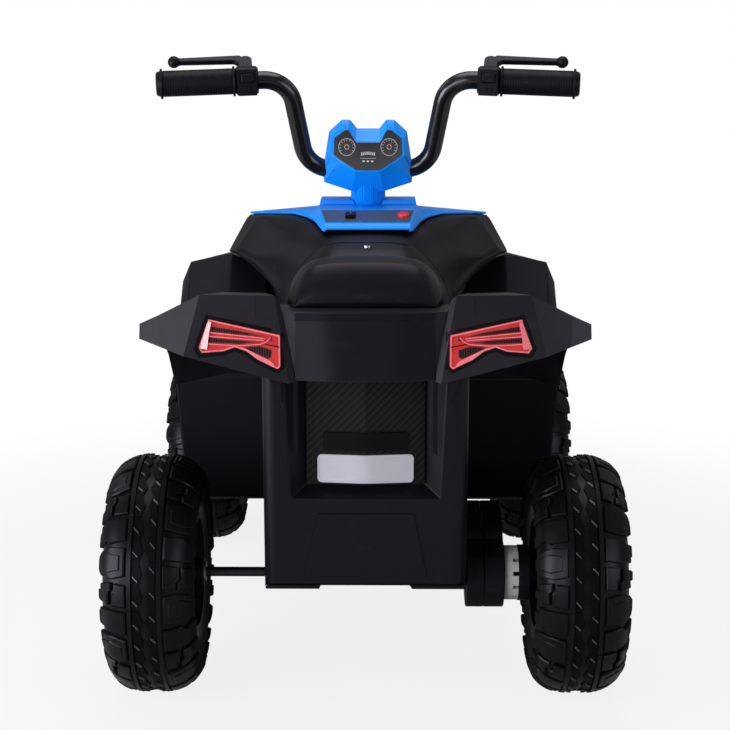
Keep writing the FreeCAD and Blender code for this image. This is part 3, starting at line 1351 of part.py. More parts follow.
def build_handlebar_ends():
    spot, outward = grip_frame()
    bar = num("bar_diameter / 2")
    grip = num("grip_diameter / 2")
    length = num("grip_length")
    keep_pair("grip", spun([
        (0.3, bar), (0.3, grip + 3), (5, grip + 3), (6, grip), (length - 8, grip), (length - 7, grip + 3),
        (length - 3, grip + 3), (length - 1, grip), (length + 4, grip - 3), (length + 4, 0), (length, 0),
        (length, bar)], spot, outward))
    middle, outward, reach, pivot = lever_frame()
    ahead = forward_of(outward)
    half = num("housing_length / 2")
    thick = num("lever_thickness")
    offset = num("lever_reach")
    pin_at = offset - 11
    barrel = spun([(-half, bar), (-half, 17), (-half + 3, 20), (half - 3, 20), (half, 17), (half, bar)],
                  middle, outward)
    rearward = in_frame(Part.makeBox(26, 13, 36, Vector(-13, -25, -20)), middle, outward, ahead)
    cheeks = []
    for low in (-thick / 2 - 4.4, thick / 2 + 0.4):
        cheeks.append(in_frame(Part.makeBox(18, pin_at - 14, 4, Vector(-9, 14, low)), middle, outward,
                               reach))
        cheeks.append(in_frame(Part.makeCylinder(9, 4, Vector(0, pin_at, low)), middle, outward, reach))
    pin = in_frame(Part.makeCylinder(3, thick + 8, Vector(0, pin_at, -thick / 2 - 4)), middle, outward,
                   reach)
    pocket = in_frame(Part.makeBox(18.6, 9, 12.6, Vector(-9.3, -26, -2.3)), middle, outward, ahead)
    passage = rod(middle - outward * 40, middle + outward * 40, bar)
    room = in_frame(Part.makeCylinder(9, thick + 0.8, Vector(0, pin_at, -thick / 2 - 0.4)), middle,
                    outward, reach)
    housing = barrel.fuse([rearward] + cheeks).cut([passage, pocket, room]).fuse(pin)
    keep_pair("switch_housing", solid_of(housing))
    keep_pair("bar_button",
              in_frame(Part.makeBox(18, 8, 12, Vector(-9, -28.4, -2)), middle, outward, ahead))
    tip = num("lever_length")
    line = [(-7, pin_at + 3), (8, offset + 6), (tip, offset + 4), (tip, offset - 4), (16, offset - 6),
            (7, pin_at - 4)]
    corners = [Vector(x, y, -thick / 2) for x, y in line]
    blade = Part.Face(Part.makePolygon(corners + corners[:1])).extrude(Z_AXIS * thick)
    eye = Part.makeCylinder(8, thick, Vector(0, pin_at, -thick / 2))
    ball = Part.makeSphere(num("lever_ball_diameter / 2"), Vector(tip + 2, offset, 0))
    bore = Part.makeCylinder(3 + num("shaft_play"), 40, Vector(0, pin_at, -20))
    keep_pair("brake_lever", in_frame(solid_of(blade.fuse([eye, ball]).cut(bore)), middle, outward, reach))


def forward_of(outward):
    return (Y_AXIS - outward * outward.y).normalize()


def export():
    doc.recompute()
    os.makedirs("parts", exist_ok=True)
    for obj in doc.Objects:
        if "Invalid" in obj.State or "Error" in obj.State:
            raise RuntimeError(obj.Label + " did not rebuild: " + ", ".join(obj.State))
    for obj in NODES:
        if obj.Shape.isNull() or not obj.Shape.isValid() or not obj.Shape.Solids:
            raise RuntimeError(obj.Label + " has no valid solid")
        obj.Shape.exportStep(os.path.join("parts", obj.Label + ".step"))


build_lower_body()
build_rear_covers()
build_rear_fender()
build_tail_lamps()
seat_screw = build_seat()
build_footboards()
build_pedal()
build_front_fenders()
build_tank()
build_cowl()
build_nose()
build_bumper()
for wheel, side, axle, driven in (("rear_left", -1, REAR_Y, False), ("rear_right", 1, REAR_Y, True),
                                  ("front_left", -1, FRONT_Y, False), ("front_right", 1, FRONT_Y, False)):
    build_wheel(wheel, side, axle, driven)
build_rear_axle([seat_screw])
build_drive()
build_gearbox()
build_battery()
build_front_axle()
build_knuckle("knuckle_left", -1)
build_knuckle("knuckle_right", 1)
build_tie_rod()
build_steering_rod()
build_handlebar()
build_bushes()
build_dash()
build_handlebar_ends()
export()
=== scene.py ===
import json
import math

import bmesh
import bpy
import numpy
from bpy.props import FloatProperty, FloatVectorProperty, IntProperty, PointerProperty
from bpy.types import Operator, Panel, PropertyGroup
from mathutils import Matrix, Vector
from mathutils.bvhtree import BVHTree


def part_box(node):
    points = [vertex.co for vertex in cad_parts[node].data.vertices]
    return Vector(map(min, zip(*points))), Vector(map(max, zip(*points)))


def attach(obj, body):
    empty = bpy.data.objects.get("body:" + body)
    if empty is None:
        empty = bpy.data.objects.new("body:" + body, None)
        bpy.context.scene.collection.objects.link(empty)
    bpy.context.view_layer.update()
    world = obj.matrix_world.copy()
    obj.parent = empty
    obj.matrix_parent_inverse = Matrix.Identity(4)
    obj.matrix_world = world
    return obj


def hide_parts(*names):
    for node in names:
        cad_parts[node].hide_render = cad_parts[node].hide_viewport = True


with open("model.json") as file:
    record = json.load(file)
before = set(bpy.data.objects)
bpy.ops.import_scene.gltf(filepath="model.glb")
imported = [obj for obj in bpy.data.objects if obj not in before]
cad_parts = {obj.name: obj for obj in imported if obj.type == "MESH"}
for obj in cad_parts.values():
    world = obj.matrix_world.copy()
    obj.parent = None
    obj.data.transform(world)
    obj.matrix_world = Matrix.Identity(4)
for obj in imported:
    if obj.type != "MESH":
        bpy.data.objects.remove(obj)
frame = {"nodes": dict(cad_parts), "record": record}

bl_info = {
    "name": "Ride-on quad bike",
    "version": (1, 0, 0),
    "blender": (4, 5, 0),
    "location": "View3D > Sidebar > Quad bike",
    "description": "Dresses the frame of a child's battery quad bike with its mouldings and finishes",
    "category": "Object",
}

NODES = frame["nodes"]
BODY_OF = {node: body for body, members in frame["record"]["behaviour"]["bodies"].items() for node in members}
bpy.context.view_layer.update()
MM = 0.001
SIDES = (("left", -1), ("right", 1))
CORNERS = ("front_left", "front_right", "rear_left", "rear_right")

# The sides a thin shape is laid on from: the direction it is pressed in, and its two plane axes.
HEADINGS = {
    "back": (Vector((0, 1, 0)), 0, 2),
    "top": (Vector((0, 0, -1)), 0, 1),
}
# Distance in metres from which a shape is pressed on, well clear of the machine.
CLEAR = 3
# In millimetres: nearer points are joined, and a cut passes through a point that lies nearer to it.
SAME_POINT = 0.01
SAME_CUT = 0.001


def colour(label, about, value):
    return FloatVectorProperty(name=label, description=about, default=value, subtype="COLOR", size=3,
                               min=0, max=1)


def length(label, about, millimetres):
    return FloatProperty(name=label, description=about, default=millimetres * MM, unit="LENGTH")


class QuadColours(PropertyGroup):
    """Colours of the machine's finishes."""
    blue: colour("Blue", "Cowl, dash and steering column plastic", (0.003, 0.25, 0.98))
    black: colour("Black", "Body mouldings", (0.0044, 0.0041, 0.0060))
    seat: colour("Seat", "Seat moulding", (0.0052, 0.0051, 0.0068))
    tyre: colour("Tyre", "Blow-moulded tyres", (0.0036, 0.0036, 0.0044))
    grip: colour("Grip", "Handlebar grips", (0.0042, 0.0040, 0.0056))
    lens: colour("Lens", "Tail lamp lens", (0.55, 0.008, 0.012))
    plate: colour("Plate", "Bare plate on the back", (0.50, 0.48, 0.56))
    steel: colour("Steel", "Zinc-plated axles and screws", (0.52, 0.52, 0.53))
    nylon: colour("Nylon", "Natural drive coupling and gears", (0.62, 0.62, 0.63))
    film: colour("Film", "Printed film on the dash and switch panel", (0.022, 0.022, 0.027))


class QuadSizes(PropertyGroup):
    """Sizes of the details that the finishes carry."""
    edge: length("Edge", "Rounding of moulded edges", 1.4)
    post: length("Post", "Rounding of the rear box's corner posts", 16)
    lug: length("Lug", "Height of a tyre lug", 4.4)
    pitches: IntProperty(name="Pitches", description="Times the tread pattern repeats", default=8,
                         min=4, max=16)
    ribs: IntProperty(name="Grip ribs", description="Rings along a grip", default=27, min=6, max=40)
    twill: length("Twill", "Width of one tow in the twill panel", 2.3)


class Value:
    """A socket that takes part in plain sums, each of which adds a Math node."""

    def __init__(self, finish, socket):
        self.finish = finish
        self.socket = socket

    def sum(self, operation, first, second):
        return self.finish.node("ShaderNodeMath", {"operation": operation}, {0: first, 1: second})

    def __add__(self, other):
        return self.sum("ADD", self, other)

    def __radd__(self, other):
        return self.sum("ADD", other, self)

    def __sub__(self, other):
        return self.sum("SUBTRACT", self, other)

    def __rsub__(self, other):
        return self.sum("SUBTRACT", other, self)

    def __mul__(self, other):
        return self.sum("MULTIPLY", self, other)

    def __rmul__(self, other):
        return self.sum("MULTIPLY", other, self)

    def __truediv__(self, other):
        return self.sum("DIVIDE", self, other)

    def __rtruediv__(self, other):
        return self.sum("DIVIDE", other, self)

    def __mod__(self, other):
        return self.sum("FLOORED_MODULO", self, other)

    def __lt__(self, other):
        return self.sum("LESS_THAN", self, other)

    def __gt__(self, other):
        return self.sum("GREATER_THAN", self, other)

    def floor(self):
        return self.finish.node("ShaderNodeMath", {"operation": "FLOOR"}, {0: self})

    def size(self):
        return self.finish.node("ShaderNodeMath", {"operation": "ABSOLUTE"}, {0: self})


class Finish:
    """A material and the one way of adding nodes to it."""

    def __init__(self, name):
        self.material = bpy.data.materials.new(name)
        self.material.use_nodes = True
        self.tree = self.material.node_tree
        self.tree.nodes.clear()
        self.where = self.node("ShaderNodeTexCoord", output="Object")

    def node(self, kind, settings=None, inputs=None, output=0):
        made = self.tree.nodes.new(kind)
        for key, value in (settings or {}).items():
            setattr(made, key, value)
        for key, value in (inputs or {}).items():
            target = made.inputs[key]
            if isinstance(value, Value):
                self.tree.links.new(value.socket, target)
            else:
                target.default_value = value
        return Value(self, made.outputs[output])

    def noise(self, scale, detail=2, stretch=None):
        place = self.where
        if stretch:
            place = self.node("ShaderNodeMapping", None, {"Vector": self.where, "Scale": stretch})
        return self.node("ShaderNodeTexNoise", None, {"Vector": place, "Scale": scale, "Detail": detail})

    def axes(self):
        return [self.node("ShaderNodeSeparateXYZ", None, {0: self.where}, output=index) for index in range(3)]

    def ramp(self, value, low, high):
        inputs = {"Value": value, "From Min": low, "From Max": high}
        return self.node("ShaderNodeMapRange", {"interpolation_type": "SMOOTHSTEP"}, inputs)

    def mix(self, factor, first, second):
        inputs = {0: factor, 6: shade(first), 7: shade(second)}
        return self.node("ShaderNodeMix", {"data_type": "RGBA"}, inputs, output=2)

    def bump(self, height, strength, distance):
        inputs = {"Strength": strength, "Distance": distance * MM, "Height": height}
        return self.node("ShaderNodeBump", None, inputs)

    def settled(self):
        """Patches where dust settles."""
        return self.ramp(self.noise(38, detail=4), 0.46, 0.80)

    def done(self, **sockets):
        names = {key.replace("_", " ").title(): value for key, value in sockets.items()}
        fixed = {"Specular Ior Level": "Specular IOR Level", "Ior": "IOR"}
        inputs = {fixed.get(key, key): value for key, value in names.items()}
        return self.shown(self.node("ShaderNodeBsdfPrincipled", None, inputs))

    def shown(self, surface):
        made = self.tree.nodes.new("ShaderNodeOutputMaterial")
        self.tree.links.new(surface.socket, made.inputs["Surface"])
        return self.material


def shade(value):
    """A colour as a socket wants it, with its fourth number."""
    return value if isinstance(value, Value) else (*tuple(value)[:3], 1.0)


def toned(value, share):
    return tuple(min(1.0, part * share) for part in tuple(value)[:3])


def lifted(value, amount):
    return tuple(min(1.0, part + amount) for part in tuple(value)[:3])


def ridges(place, pitch):
    """Sharp ridges along a place, one to every pitch in millimetres."""
    return ((place.size() / (pitch * MM)) % 1.0 - 0.5).size() * 2


WHITE = (1.0, 1.0, 1.0, 1.0)
VIOLET = (0.88, 0.84, 1.0, 1.0)
DUST = (0.10, 0.095, 0.09)


def moulded(name, base, rough, grain, depth, specular=0.3, coat=0.0, dust=0.0, tint=WHITE):
    """Moulded plastic: a fine spark-eroded grain, cloudy tone, faint rubbed streaks and settled dust."""
    finish = Finish(name)
    cloud = finish.noise(7, detail=3)
    fine = finish.noise(grain, detail=2)
    streak = finish.ramp(finish.noise(9, detail=4, stretch=(3.0, 26.0, 5.0)), 0.60, 0.78)
    settled = finish.settled()
    tone = finish.mix(cloud, toned(base, 0.80), toned(base, 1.22))
    tone = finish.mix(streak * 0.20, tone, lifted(base, 0.020))
    tone = finish.mix(settled * dust, tone, DUST)
    gloss = rough + 0.10 * (cloud - 0.5) + 0.10 * streak + 0.20 * dust * settled
    normal = finish.bump(fine, strength=depth, distance=0.12)
    return finish.done(base_color=tone, roughness=gloss, normal=normal, specular_ior_level=specular,
                       specular_tint=tint, coat_weight=coat, coat_roughness=0.08)


def blue_plastic(name):
    return moulded(name, colours().blue, rough=0.30, grain=900, depth=0.10, specular=0.24, coat=0.05)


def black_plastic(name):
    return moulded(name, colours().black, rough=0.38, grain=1500, depth=0.30, specular=0.16, tint=VIOLET)


def seat_plastic(name):
    return moulded(name, colours().seat, rough=0.34, grain=1100, depth=0.35, specular=0.20, tint=VIOLET)


def tyre_plastic(name):
    """Tyre plastic, duller on the side walls than on the tread."""
    finish = Finish(name)
    x, y, z = finish.axes()
    side = finish.ramp(x.size(), 50 * MM, 54 * MM)
    cloud = finish.noise(7, detail=3)
    fine = finish.noise(800, detail=2)
    base = colours().tyre
    tone = finish.mix(cloud, toned(base, 0.75), toned(base, 1.25))
    tone = finish.mix(finish.settled() * 0.02, tone, DUST)
    gloss = 0.32 + 0.10 * (cloud - 0.5) + 0.45 * side
    normal = finish.bump(fine, strength=0.35, distance=0.12)
    return finish.done(base_color=tone, roughness=gloss, normal=normal, specular_ior_level=0.13,
                       specular_tint=VIOLET)


# The ticks' paler colour is a painted glint; their higher gloss is real.
def tyre_tick_glint(name):
    base = lifted(colours().tyre, 0.045)
    return moulded(name, base, rough=0.24, grain=800, depth=0.20, specular=0.60, tint=VIOLET)


# Tyre plastic darkened: painted shade in the low band between the rails.
def tyre_band_shade(name):
    base = toned(colours().tyre, 0.7)
    return moulded(name, base, rough=0.42, grain=800, depth=0.30, specular=0.06, tint=VIOLET)


def grip_plastic(name):
    return moulded(name, colours().grip, rough=0.44, grain=1300, depth=0.30, specular=0.13, tint=VIOLET)


# Black plastic darkened to less than half: painted shade for the lamps' surrounds, the block in the rear
# recess and the ribs in the lamp slots, and also the dark seam and split lines.
def shade_and_joint_plastic(name):
    base = toned(colours().black, 0.45)
    return moulded(name, base, rough=0.60, grain=1500, depth=0.40, specular=0.08)


# Black plastic made lighter: painted light on the fenders' faces, which catch more light than the rest of the
# body.
def painted_light_fender_plastic(name):
    base = toned(colours().black, 1.3)
    return moulded(name, base, rough=0.40, grain=1500, depth=0.30, specular=0.27, tint=VIOLET)


def dull_plastic(name):
    return moulded(name, colours().black, rough=0.48, grain=1300, depth=0.45, specular=0.10, tint=VIOLET)


def battery_case(name):
    return moulded(name, (0.022, 0.022, 0.025), rough=0.48, grain=1200, depth=0.30)


def red_plastic(name):
    return moulded(name, (0.66, 0.012, 0.012), rough=0.28, grain=900, depth=0.12, specular=0.45, coat=0.3)


def white_plastic(name):
    return moulded(name, colours().nylon, rough=0.42, grain=900, depth=0.20, specular=0.40, dust=0.05)


def twill_panel(name):
    """A 2 by 2 twill of flat tows under a clear film, lying across X and Z."""
    finish = Finish(name)
    x, y, z = finish.axes()
    tow = bpy.context.scene.quad_sizes.twill
    across = x / tow
    upright = z / tow
    column = across.floor()
    row = upright.floor()
    over = ((column - row) % 4) < 1.5
    round_x = ((across - column) - 0.5).size() * 2
    round_z = ((upright - row) - 0.5).size() * 2
    crown = 1 - (over * round_x + (1 - over) * round_z)
    strands = finish.noise(600, detail=2)
    base = toned(colours().film, 0.12)
    tone = finish.mix(over * 0.75 + strands * 0.25, toned(base, 0.6), lifted(base, 0.008))
    gloss = 0.38 + 0.16 * (1 - over)
    normal = finish.bump(crown, strength=0.55, distance=0.25)
    return finish.done(base_color=tone, roughness=gloss, normal=normal, specular_ior_level=0.11,
                       coat_weight=0.02, coat_roughness=0.15)


def plate(name):
    """Silver film on the bare plate: a soft brushed sheen with faint rubbing."""
    finish = Finish(name)
    brush = finish.noise(60, detail=4, stretch=(1.0, 1.0, 14.0))
    cloud = finish.noise(16, detail=3)
    base = colours().plate
    tone = finish.mix(brush * 0.6 + cloud * 0.4, toned(base, 0.84), toned(base, 1.14))
    gloss = 0.30 + 0.16 * brush
    normal = finish.bump(brush, strength=0.12, distance=0.05)
    return finish.done(base_color=tone, roughness=gloss, normal=normal, metallic=0.35, specular_ior_level=0.5)


def panel_film(name):
    """Film: charcoal fading paler downward and toward the sides, under a gloss coat."""
    finish = Finish(name)
    x, y, z = finish.axes()
    fade = finish.ramp(z - 0.55 * x.size(), 0.590, 0.675)
    speck = finish.noise(900, detail=2)
    base = colours().film
    tone = finish.mix(fade, lifted(base, 0.030), toned(base, 0.55))
    tone = finish.mix(speck * 0.12, tone, lifted(base, 0.05))
    gloss = 0.24 + 0.10 * finish.noise(30, detail=3)
    normal = finish.bump(speck, strength=0.03, distance=0.004)
    return finish.done(base_color=tone, roughness=gloss, normal=normal, coat_weight=0.3, coat_roughness=0.12)


def film_mark(name):
    """Pale printed marks on the film."""
    finish = Finish(name)
    wear = finish.noise(420, detail=3)
    tone = finish.mix(wear, (0.38, 0.37, 0.40), (0.56, 0.54, 0.58))
    return finish.done(base_color=tone, roughness=0.3 + 0.2 * wear)


def red_lens(name):
    """Clear red lens with moulded ripples inside."""
    finish = Finish(name)
    x, y, z = finish.axes()
    ripple = ridges(x, 1.9)
    cloud = finish.noise(45, detail=3)
    base = colours().lens
    tone = finish.mix(cloud, toned(base, 0.80), lifted(base, 0.05))
    normal = finish.bump(ripple, strength=0.10, distance=0.15)
    gloss = 0.14 + 0.08 * cloud
    return finish.done(base_color=tone, roughness=gloss, normal=normal, specular_ior_level=0.25,
                       coat_weight=0.15, coat_roughness=0.05, subsurface_weight=0.15, subsurface_scale=0.004)


def lens_highlight(name):
    """Painted highlight in pale pink on the lens's rim, bars and outer ends, standing in for the light they
    catch.
    """
    finish = Finish(name)
    cloud = finish.noise(70, detail=3)
    tone = finish.mix(cloud, (0.74, 0.10, 0.14), (0.88, 0.26, 0.30))
    gloss = 0.12 + 0.10 * cloud
    return finish.done(base_color=tone, roughness=gloss, specular_ior_level=0.6, coat_weight=0.9,
                       coat_roughness=0.12)


def lens_slot_shade(name):
    """Dark ribbed slots of the tail lamps: their dark red is painted shade standing in for their depth."""
    finish = Finish(name)
    cloud = finish.noise(90, detail=3)
    tone = finish.mix(cloud, (0.030, 0.008, 0.009), (0.062, 0.016, 0.018))
    return finish.done(base_color=tone, roughness=0.42 + 0.2 * cloud, specular_ior_level=0.3)


def clear_lens(name):
    """Head lamp lens over a fluted silver reflector: the silver is the reflector's own, its pale and grey
    stripes along the flutes a painted reflection.
    """
    finish = Finish(name)
    x, y, z = finish.axes()
    flute = ridges(x, 3.2)
    cloud = finish.noise(40, detail=3)
    # Pale and grey stripes along the flutes: painted reflection on the silver reflector.
    tone = finish.mix(flute * 0.7 + cloud * 0.3, (0.50, 0.52, 0.55), (0.86, 0.88, 0.90))
    normal = finish.bump(flute, strength=0.25, distance=0.4)
    return finish.done(base_color=tone, roughness=0.10 + 0.08 * cloud, normal=normal, metallic=0.25,
                       coat_weight=1.0, coat_roughness=0.03)


def steel(name):
    """Zinc-plated steel with faint turning lines and dull blotches."""
    finish = Finish(name)
    lines = finish.noise(30, detail=4, stretch=(60.0, 2.0, 2.0))
    blotch = finish.noise(55, detail=3)
    base = colours().steel
    tone = finish.mix(blotch, toned(base, 0.72), toned(base, 1.12))
    gloss = 0.26 + 0.22 * blotch
    normal = finish.bump(lines, strength=0.15, distance=0.05)
    return finish.done(base_color=tone, roughness=gloss, normal=normal, metallic=1.0)


def black_steel(name):
    """Gloss black paint on tube, slightly orange-peeled, with dull rubbed spots."""
    finish = Finish(name)
    peel = finish.noise(420, detail=2)
    rub = finish.ramp(finish.noise(34, detail=4), 0.55, 0.80)
    tone = finish.mix(rub * 0.6, (0.0055, 0.0055, 0.006), (0.016, 0.016, 0.018))
    gloss = 0.20 + 0.22 * rub
    normal = finish.bump(peel, strength=0.16, distance=0.06)
    return finish.done(base_color=tone, roughness=gloss, normal=normal, specular_ior_level=0.45,
                       specular_tint=VIOLET, coat_weight=0.15, coat_roughness=0.10)


FINISHES = {maker.__name__: maker for maker in (
    blue_plastic, black_plastic, seat_plastic, tyre_plastic, tyre_tick_glint, tyre_band_shade, grip_plastic,
    shade_and_joint_plastic, painted_light_fender_plastic, dull_plastic, battery_case, red_plastic, white_plastic, twill_panel,
    plate, panel_film, film_mark, red_lens, lens_highlight, lens_slot_shade, clear_lens, steel, black_steel)}


def colours():
    return bpy.context.scene.quad_colours


def finish_of(name):
    label = name + "_finish"
    return bpy.data.materials.get(label) or FINISHES[name](label)


def piece_from(name, mesh, finish, body, stands_for=(), smooth=40):
    """A finished piece on its body, shaded smooth but for its sharp edges."""
    mesh.materials.clear()
    mesh.materials.append(finish_of(finish))
    mesh.shade_smooth()
    mesh.set_sharp_from_angle(angle=math.radians(smooth))
    made = bpy.data.objects.new(name, mesh)
    bpy.context.scene.collection.objects.link(made)
    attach(made, body)
    if stands_for:
        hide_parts(*stands_for)
    return made


def mesh_from(name, points, faces):
    mesh = bpy.data.meshes.new(name)
    mesh.from_pydata([tuple(point) for point in points], [], faces)
    work = bmesh.new()
    work.from_mesh(mesh)
    bmesh.ops.recalc_face_normals(work, faces=work.faces)
    work.to_mesh(mesh)
    work.free()
    return mesh


def joined_surface(node):
    """A node's surface with its flat faces joined."""
    work = bmesh.new()
    work.from_mesh(NODES[node].data)
    flat = math.radians(0.7)
    bmesh.ops.remove_doubles(work, verts=work.verts, dist=SAME_POINT * MM)
    bmesh.ops.dissolve_limit(work, angle_limit=flat, verts=work.verts, edges=work.edges)
    return work


def round_edges(made, width, angle):
    """Rounds the edges of a piece that turn by more than an angle."""
    rounding = made.modifiers.new("rounded edges", "BEVEL")
    rounding.width = width * bpy.context.scene.quad_sizes.edge
    rounding.segments = 2
    rounding.limit_method = "ANGLE"
    rounding.angle_limit = math.radians(angle)
    rounding.use_clamp_overlap = False
    return rounding


def dress(node, finish, edge=1.0, angle=26, smooth=42, suffix="moulding"):
    """The node's own shape with its edges rounded, in a finish."""
    work = joined_surface(node)
    mesh = bpy.data.meshes.new(node + "_" + suffix)
    work.to_mesh(mesh)
    work.free()
    made = piece_from(node + "_" + suffix, mesh, finish, BODY_OF[node], (node,), smooth)
    if edge:
        round_edges(made, edge, angle).miter_outer = "MITER_ARC"
    made.modifiers.new("even shading", "WEIGHTED_NORMAL").keep_sharp = True
    return made


def paint(node, finish):
    """A node kept as it is, in a finish."""
    target = NODES[node]
    target.data.materials.clear()
    target.data.materials.append(finish_of(finish))
    for face in target.data.polygons:
        face.material_index = 0
    return target


def surface_of(node):
    mesh = NODES[node].data
    points = [vertex.co for vertex in mesh.vertices]
    return BVHTree.FromPolygons(points, [face.vertices for face in mesh.polygons])


def cut_grid(work, axes, step, near):
    """Cuts a mesh across each axis into even lengths of a step or a little more."""
    for axis in axes:
        places = [vertex.co[axis] for vertex in work.verts]
        low = min(places)
        span = max(places) - low
        count = int(span / step)
        normal = Vector((0, 0, 0))
        normal[axis] = 1
        for index in range(1, count + 1):
            spot = normal * (low + span * index / (count + 1))
            geometry = work.verts[:] + work.edges[:] + work.faces[:]
            bmesh.ops.bisect_plane(work, geom=geometry, dist=near, plane_co=spot, plane_no=normal)


def flat_grid(outlines, first, second, step):
    """Outlines as joined flat faces cut by a grid, so that they can follow a curved surface."""
    work = bmesh.new()
    for outline in outlines:
        corners = []
        for along, across in outline:
            spot = Vector((0, 0, 0))
            spot[first] = along * MM
            spot[second] = across * MM
            corners.append(work.verts.new(spot))
        work.faces.new(corners)
    bmesh.ops.remove_doubles(work, verts=work.verts, dist=SAME_POINT * MM)
    cut_grid(work, (first, second), step * MM, SAME_CUT * MM)
    return work


def laid_on(name, node, outlines, heading, height, finish, sink=0.5, step=9, stands_for=()):
    """Thin raised shapes that follow a node's surface, drawn in millimetres as seen along a heading."""
    way, first, second = HEADINGS[heading]
    work = flat_grid(outlines, first, second, step)
    work.verts.index_update()
    tree = surface_of(node)
    low, high = [], []
    for vertex in work.verts:
        point, normal, face, distance = tree.ray_cast(vertex.co - way * CLEAR, way)
        if point is None:
            raise RuntimeError("%s reaches past %s at %s" % (name, node, vertex.co))
        if normal.dot(way) > 0:
            normal = -normal
        low.append(point - normal * sink * MM)
        high.append(point + normal * height * MM)
    count = len(low)
    faces = []
    for face in work.faces:
        around = [vertex.index for vertex in face.verts]
        faces.append(around)
        faces.append([index + count for index in reversed(around)])
    for edge in work.edges:
        if len(edge.link_faces) == 1:
            start, end = (vertex.index for vertex in edge.verts)
            faces.append([start, end, end + count, start + count])
    work.free()
    mesh = mesh_from(name, low + high, faces)
    return piece_from(name, mesh, finish, BODY_OF[node], stands_for, 30)


def rounded_box(left, bottom, right, top, radius, steps=5):
    """A box outline with round corners."""
    outline = []
    centres = ((right - radius, top - radius), (left + radius, top - radius),
               (left + radius, bottom + radius), (right - radius, bottom + radius))
    for quarter, (x, z) in enumerate(centres):
        for index in range(steps + 1):
            turn = math.radians(90 * (quarter + index / steps))
            outline.append((x + radius * math.cos(turn), z + radius * math.sin(turn)))
    return outline


def ring(outer, inner):
    """The faces between two outlines with as many points."""
    count = len(outer)
    return [[outer[i], outer[(i + 1) % count], inner[(i + 1) % count], inner[i]] for i in range(count)]


def circle(x, z, radius, steps=32):
    turns = [2 * math.pi * index / steps for index in range(steps)]
    return [(x + radius * math.cos(turn), z + radius * math.sin(turn)) for turn in turns]


def mirrored(outline, sign):
    return [(sign * x, z) for x, z in outline]


def all_mirrored(outlines, sign):
    return [mirrored(outline, sign) for outline in outlines]


def bar(x, z, length, width, turn):
    """A small box outline, turned."""
    along = Vector((math.cos(turn), math.sin(turn))) * length / 2
    across = Vector((-math.sin(turn), math.cos(turn))) * width / 2
    middle = Vector((x, z))
    return [tuple(middle + along * a + across * b) for a, b in ((-1, -1), (1, -1), (1, 1), (-1, 1))]


def strip(start, end, width):
    """A thin straight outline between two points."""
    way = Vector(end) - Vector(start)
    middle = (Vector(start) + Vector(end)) / 2
    return bar(middle.x, middle.y, way.length, width, math.atan2(way.y, way.x))


def closed_tube(name, points, count):
    """Rows of so many points each, joined into a solid with closed ends."""
    last = len(points) - count
    faces = [list(range(count)), [last + index for index in reversed(range(count))]]
    for row in range(0, last, count):
        for index in range(count):
            after = (index + 1) % count
            faces.append([row + index, row + after, row + count + after, row + count + index])
    return mesh_from(name, points, faces)


def drawn_out(name, sections, sign):
    """Right-hand end-view outlines in millimetres at places along the machine, joined on one side of it."""
    rows = [(y, mirrored(outline, sign)) for y, outline in sections]
    points = [Vector((x, y, z)) * MM for y, outline in rows for x, z in outline]
    return closed_tube(name, points, len(rows[0][1]))


def axis_of(node):
    """Start, direction and length of a turned node's own axis, pointing away from the machine's middle."""
    points = numpy.array([vertex.co for vertex in NODES[node].data.vertices])
    middle = points.mean(axis=0)
    way = numpy.linalg.eigh(numpy.cov((points - middle).T))[1][:, -1]
    if way[0] * middle[0] < 0:
        way = -way
    along = (points - middle) @ way
    return Vector(middle + way * along.min()), Vector(way), float(along.max() - along.min())


def lathe(name, profile, start, way, steps=48):
    """A profile of (along, radius) in millimetres turned about an axis, with flat closed ends."""
    side = way.orthogonal().normalized()
    other = way.cross(side)
    points = []
    for along, radius in profile:
        for index in range(steps):
            turn = 2 * math.pi * index / steps
            spoke = side * math.cos(turn) + other * math.sin(turn)
            points.append(start + way * along * MM + spoke * radius * MM)
    return closed_tube(name, points, steps)


def skin_grid(stations, fine, along):
    """Points over end-view half lines, both sides of the middle: rows along the machine, columns across."""
    lines = []
    for y, half in stations:
        line = []
        for (xa, za), (xb, zb) in zip(half, half[1:]):
            line += [(xa + (xb - xa) * step / fine, za + (zb - za) * step / fine) for step in range(fine)]
        line.append(half[-1])
        whole = [(-x, z) for x, z in line[:0:-1]] + line
        lines.append([(x, y, z) for x, z in whole])
    rows = []
    for back, ahead in zip(lines, lines[1:]):
        reach = max(math.dist(a, b) for a, b in zip(back, ahead))
        count = max(1, round(reach / along))
        for step in range(count):
            share = step / count
            rows.append([[p + (q - p) * share for p, q in zip(a, b)] for a, b in zip(back, ahead)])
    rows.append(lines[-1])
    return numpy.array(rows, dtype=float) * MM


# Share of the way a point moves towards the middle of its neighbours in one round of easing.
EASE = 0.6


def eased(grid, rounds, hold=None):
    """A grid with its folds rounded off; its first and last rows only ease along themselves."""
    weight = 1.0 if hold is None else hold[..., None]
    for index in range(rounds):
        fresh = grid.copy()
        fresh[1:-1, 1:-1] = (grid[:-2, 1:-1] + grid[2:, 1:-1] + grid[1:-1, :-2] + grid[1:-1, 2:]) / 4
        for border in (0, -1):
            fresh[border, 1:-1] = (grid[border, :-2] + grid[border, 2:]) / 2
        grid = grid + (fresh - grid) * EASE * weight
    return grid


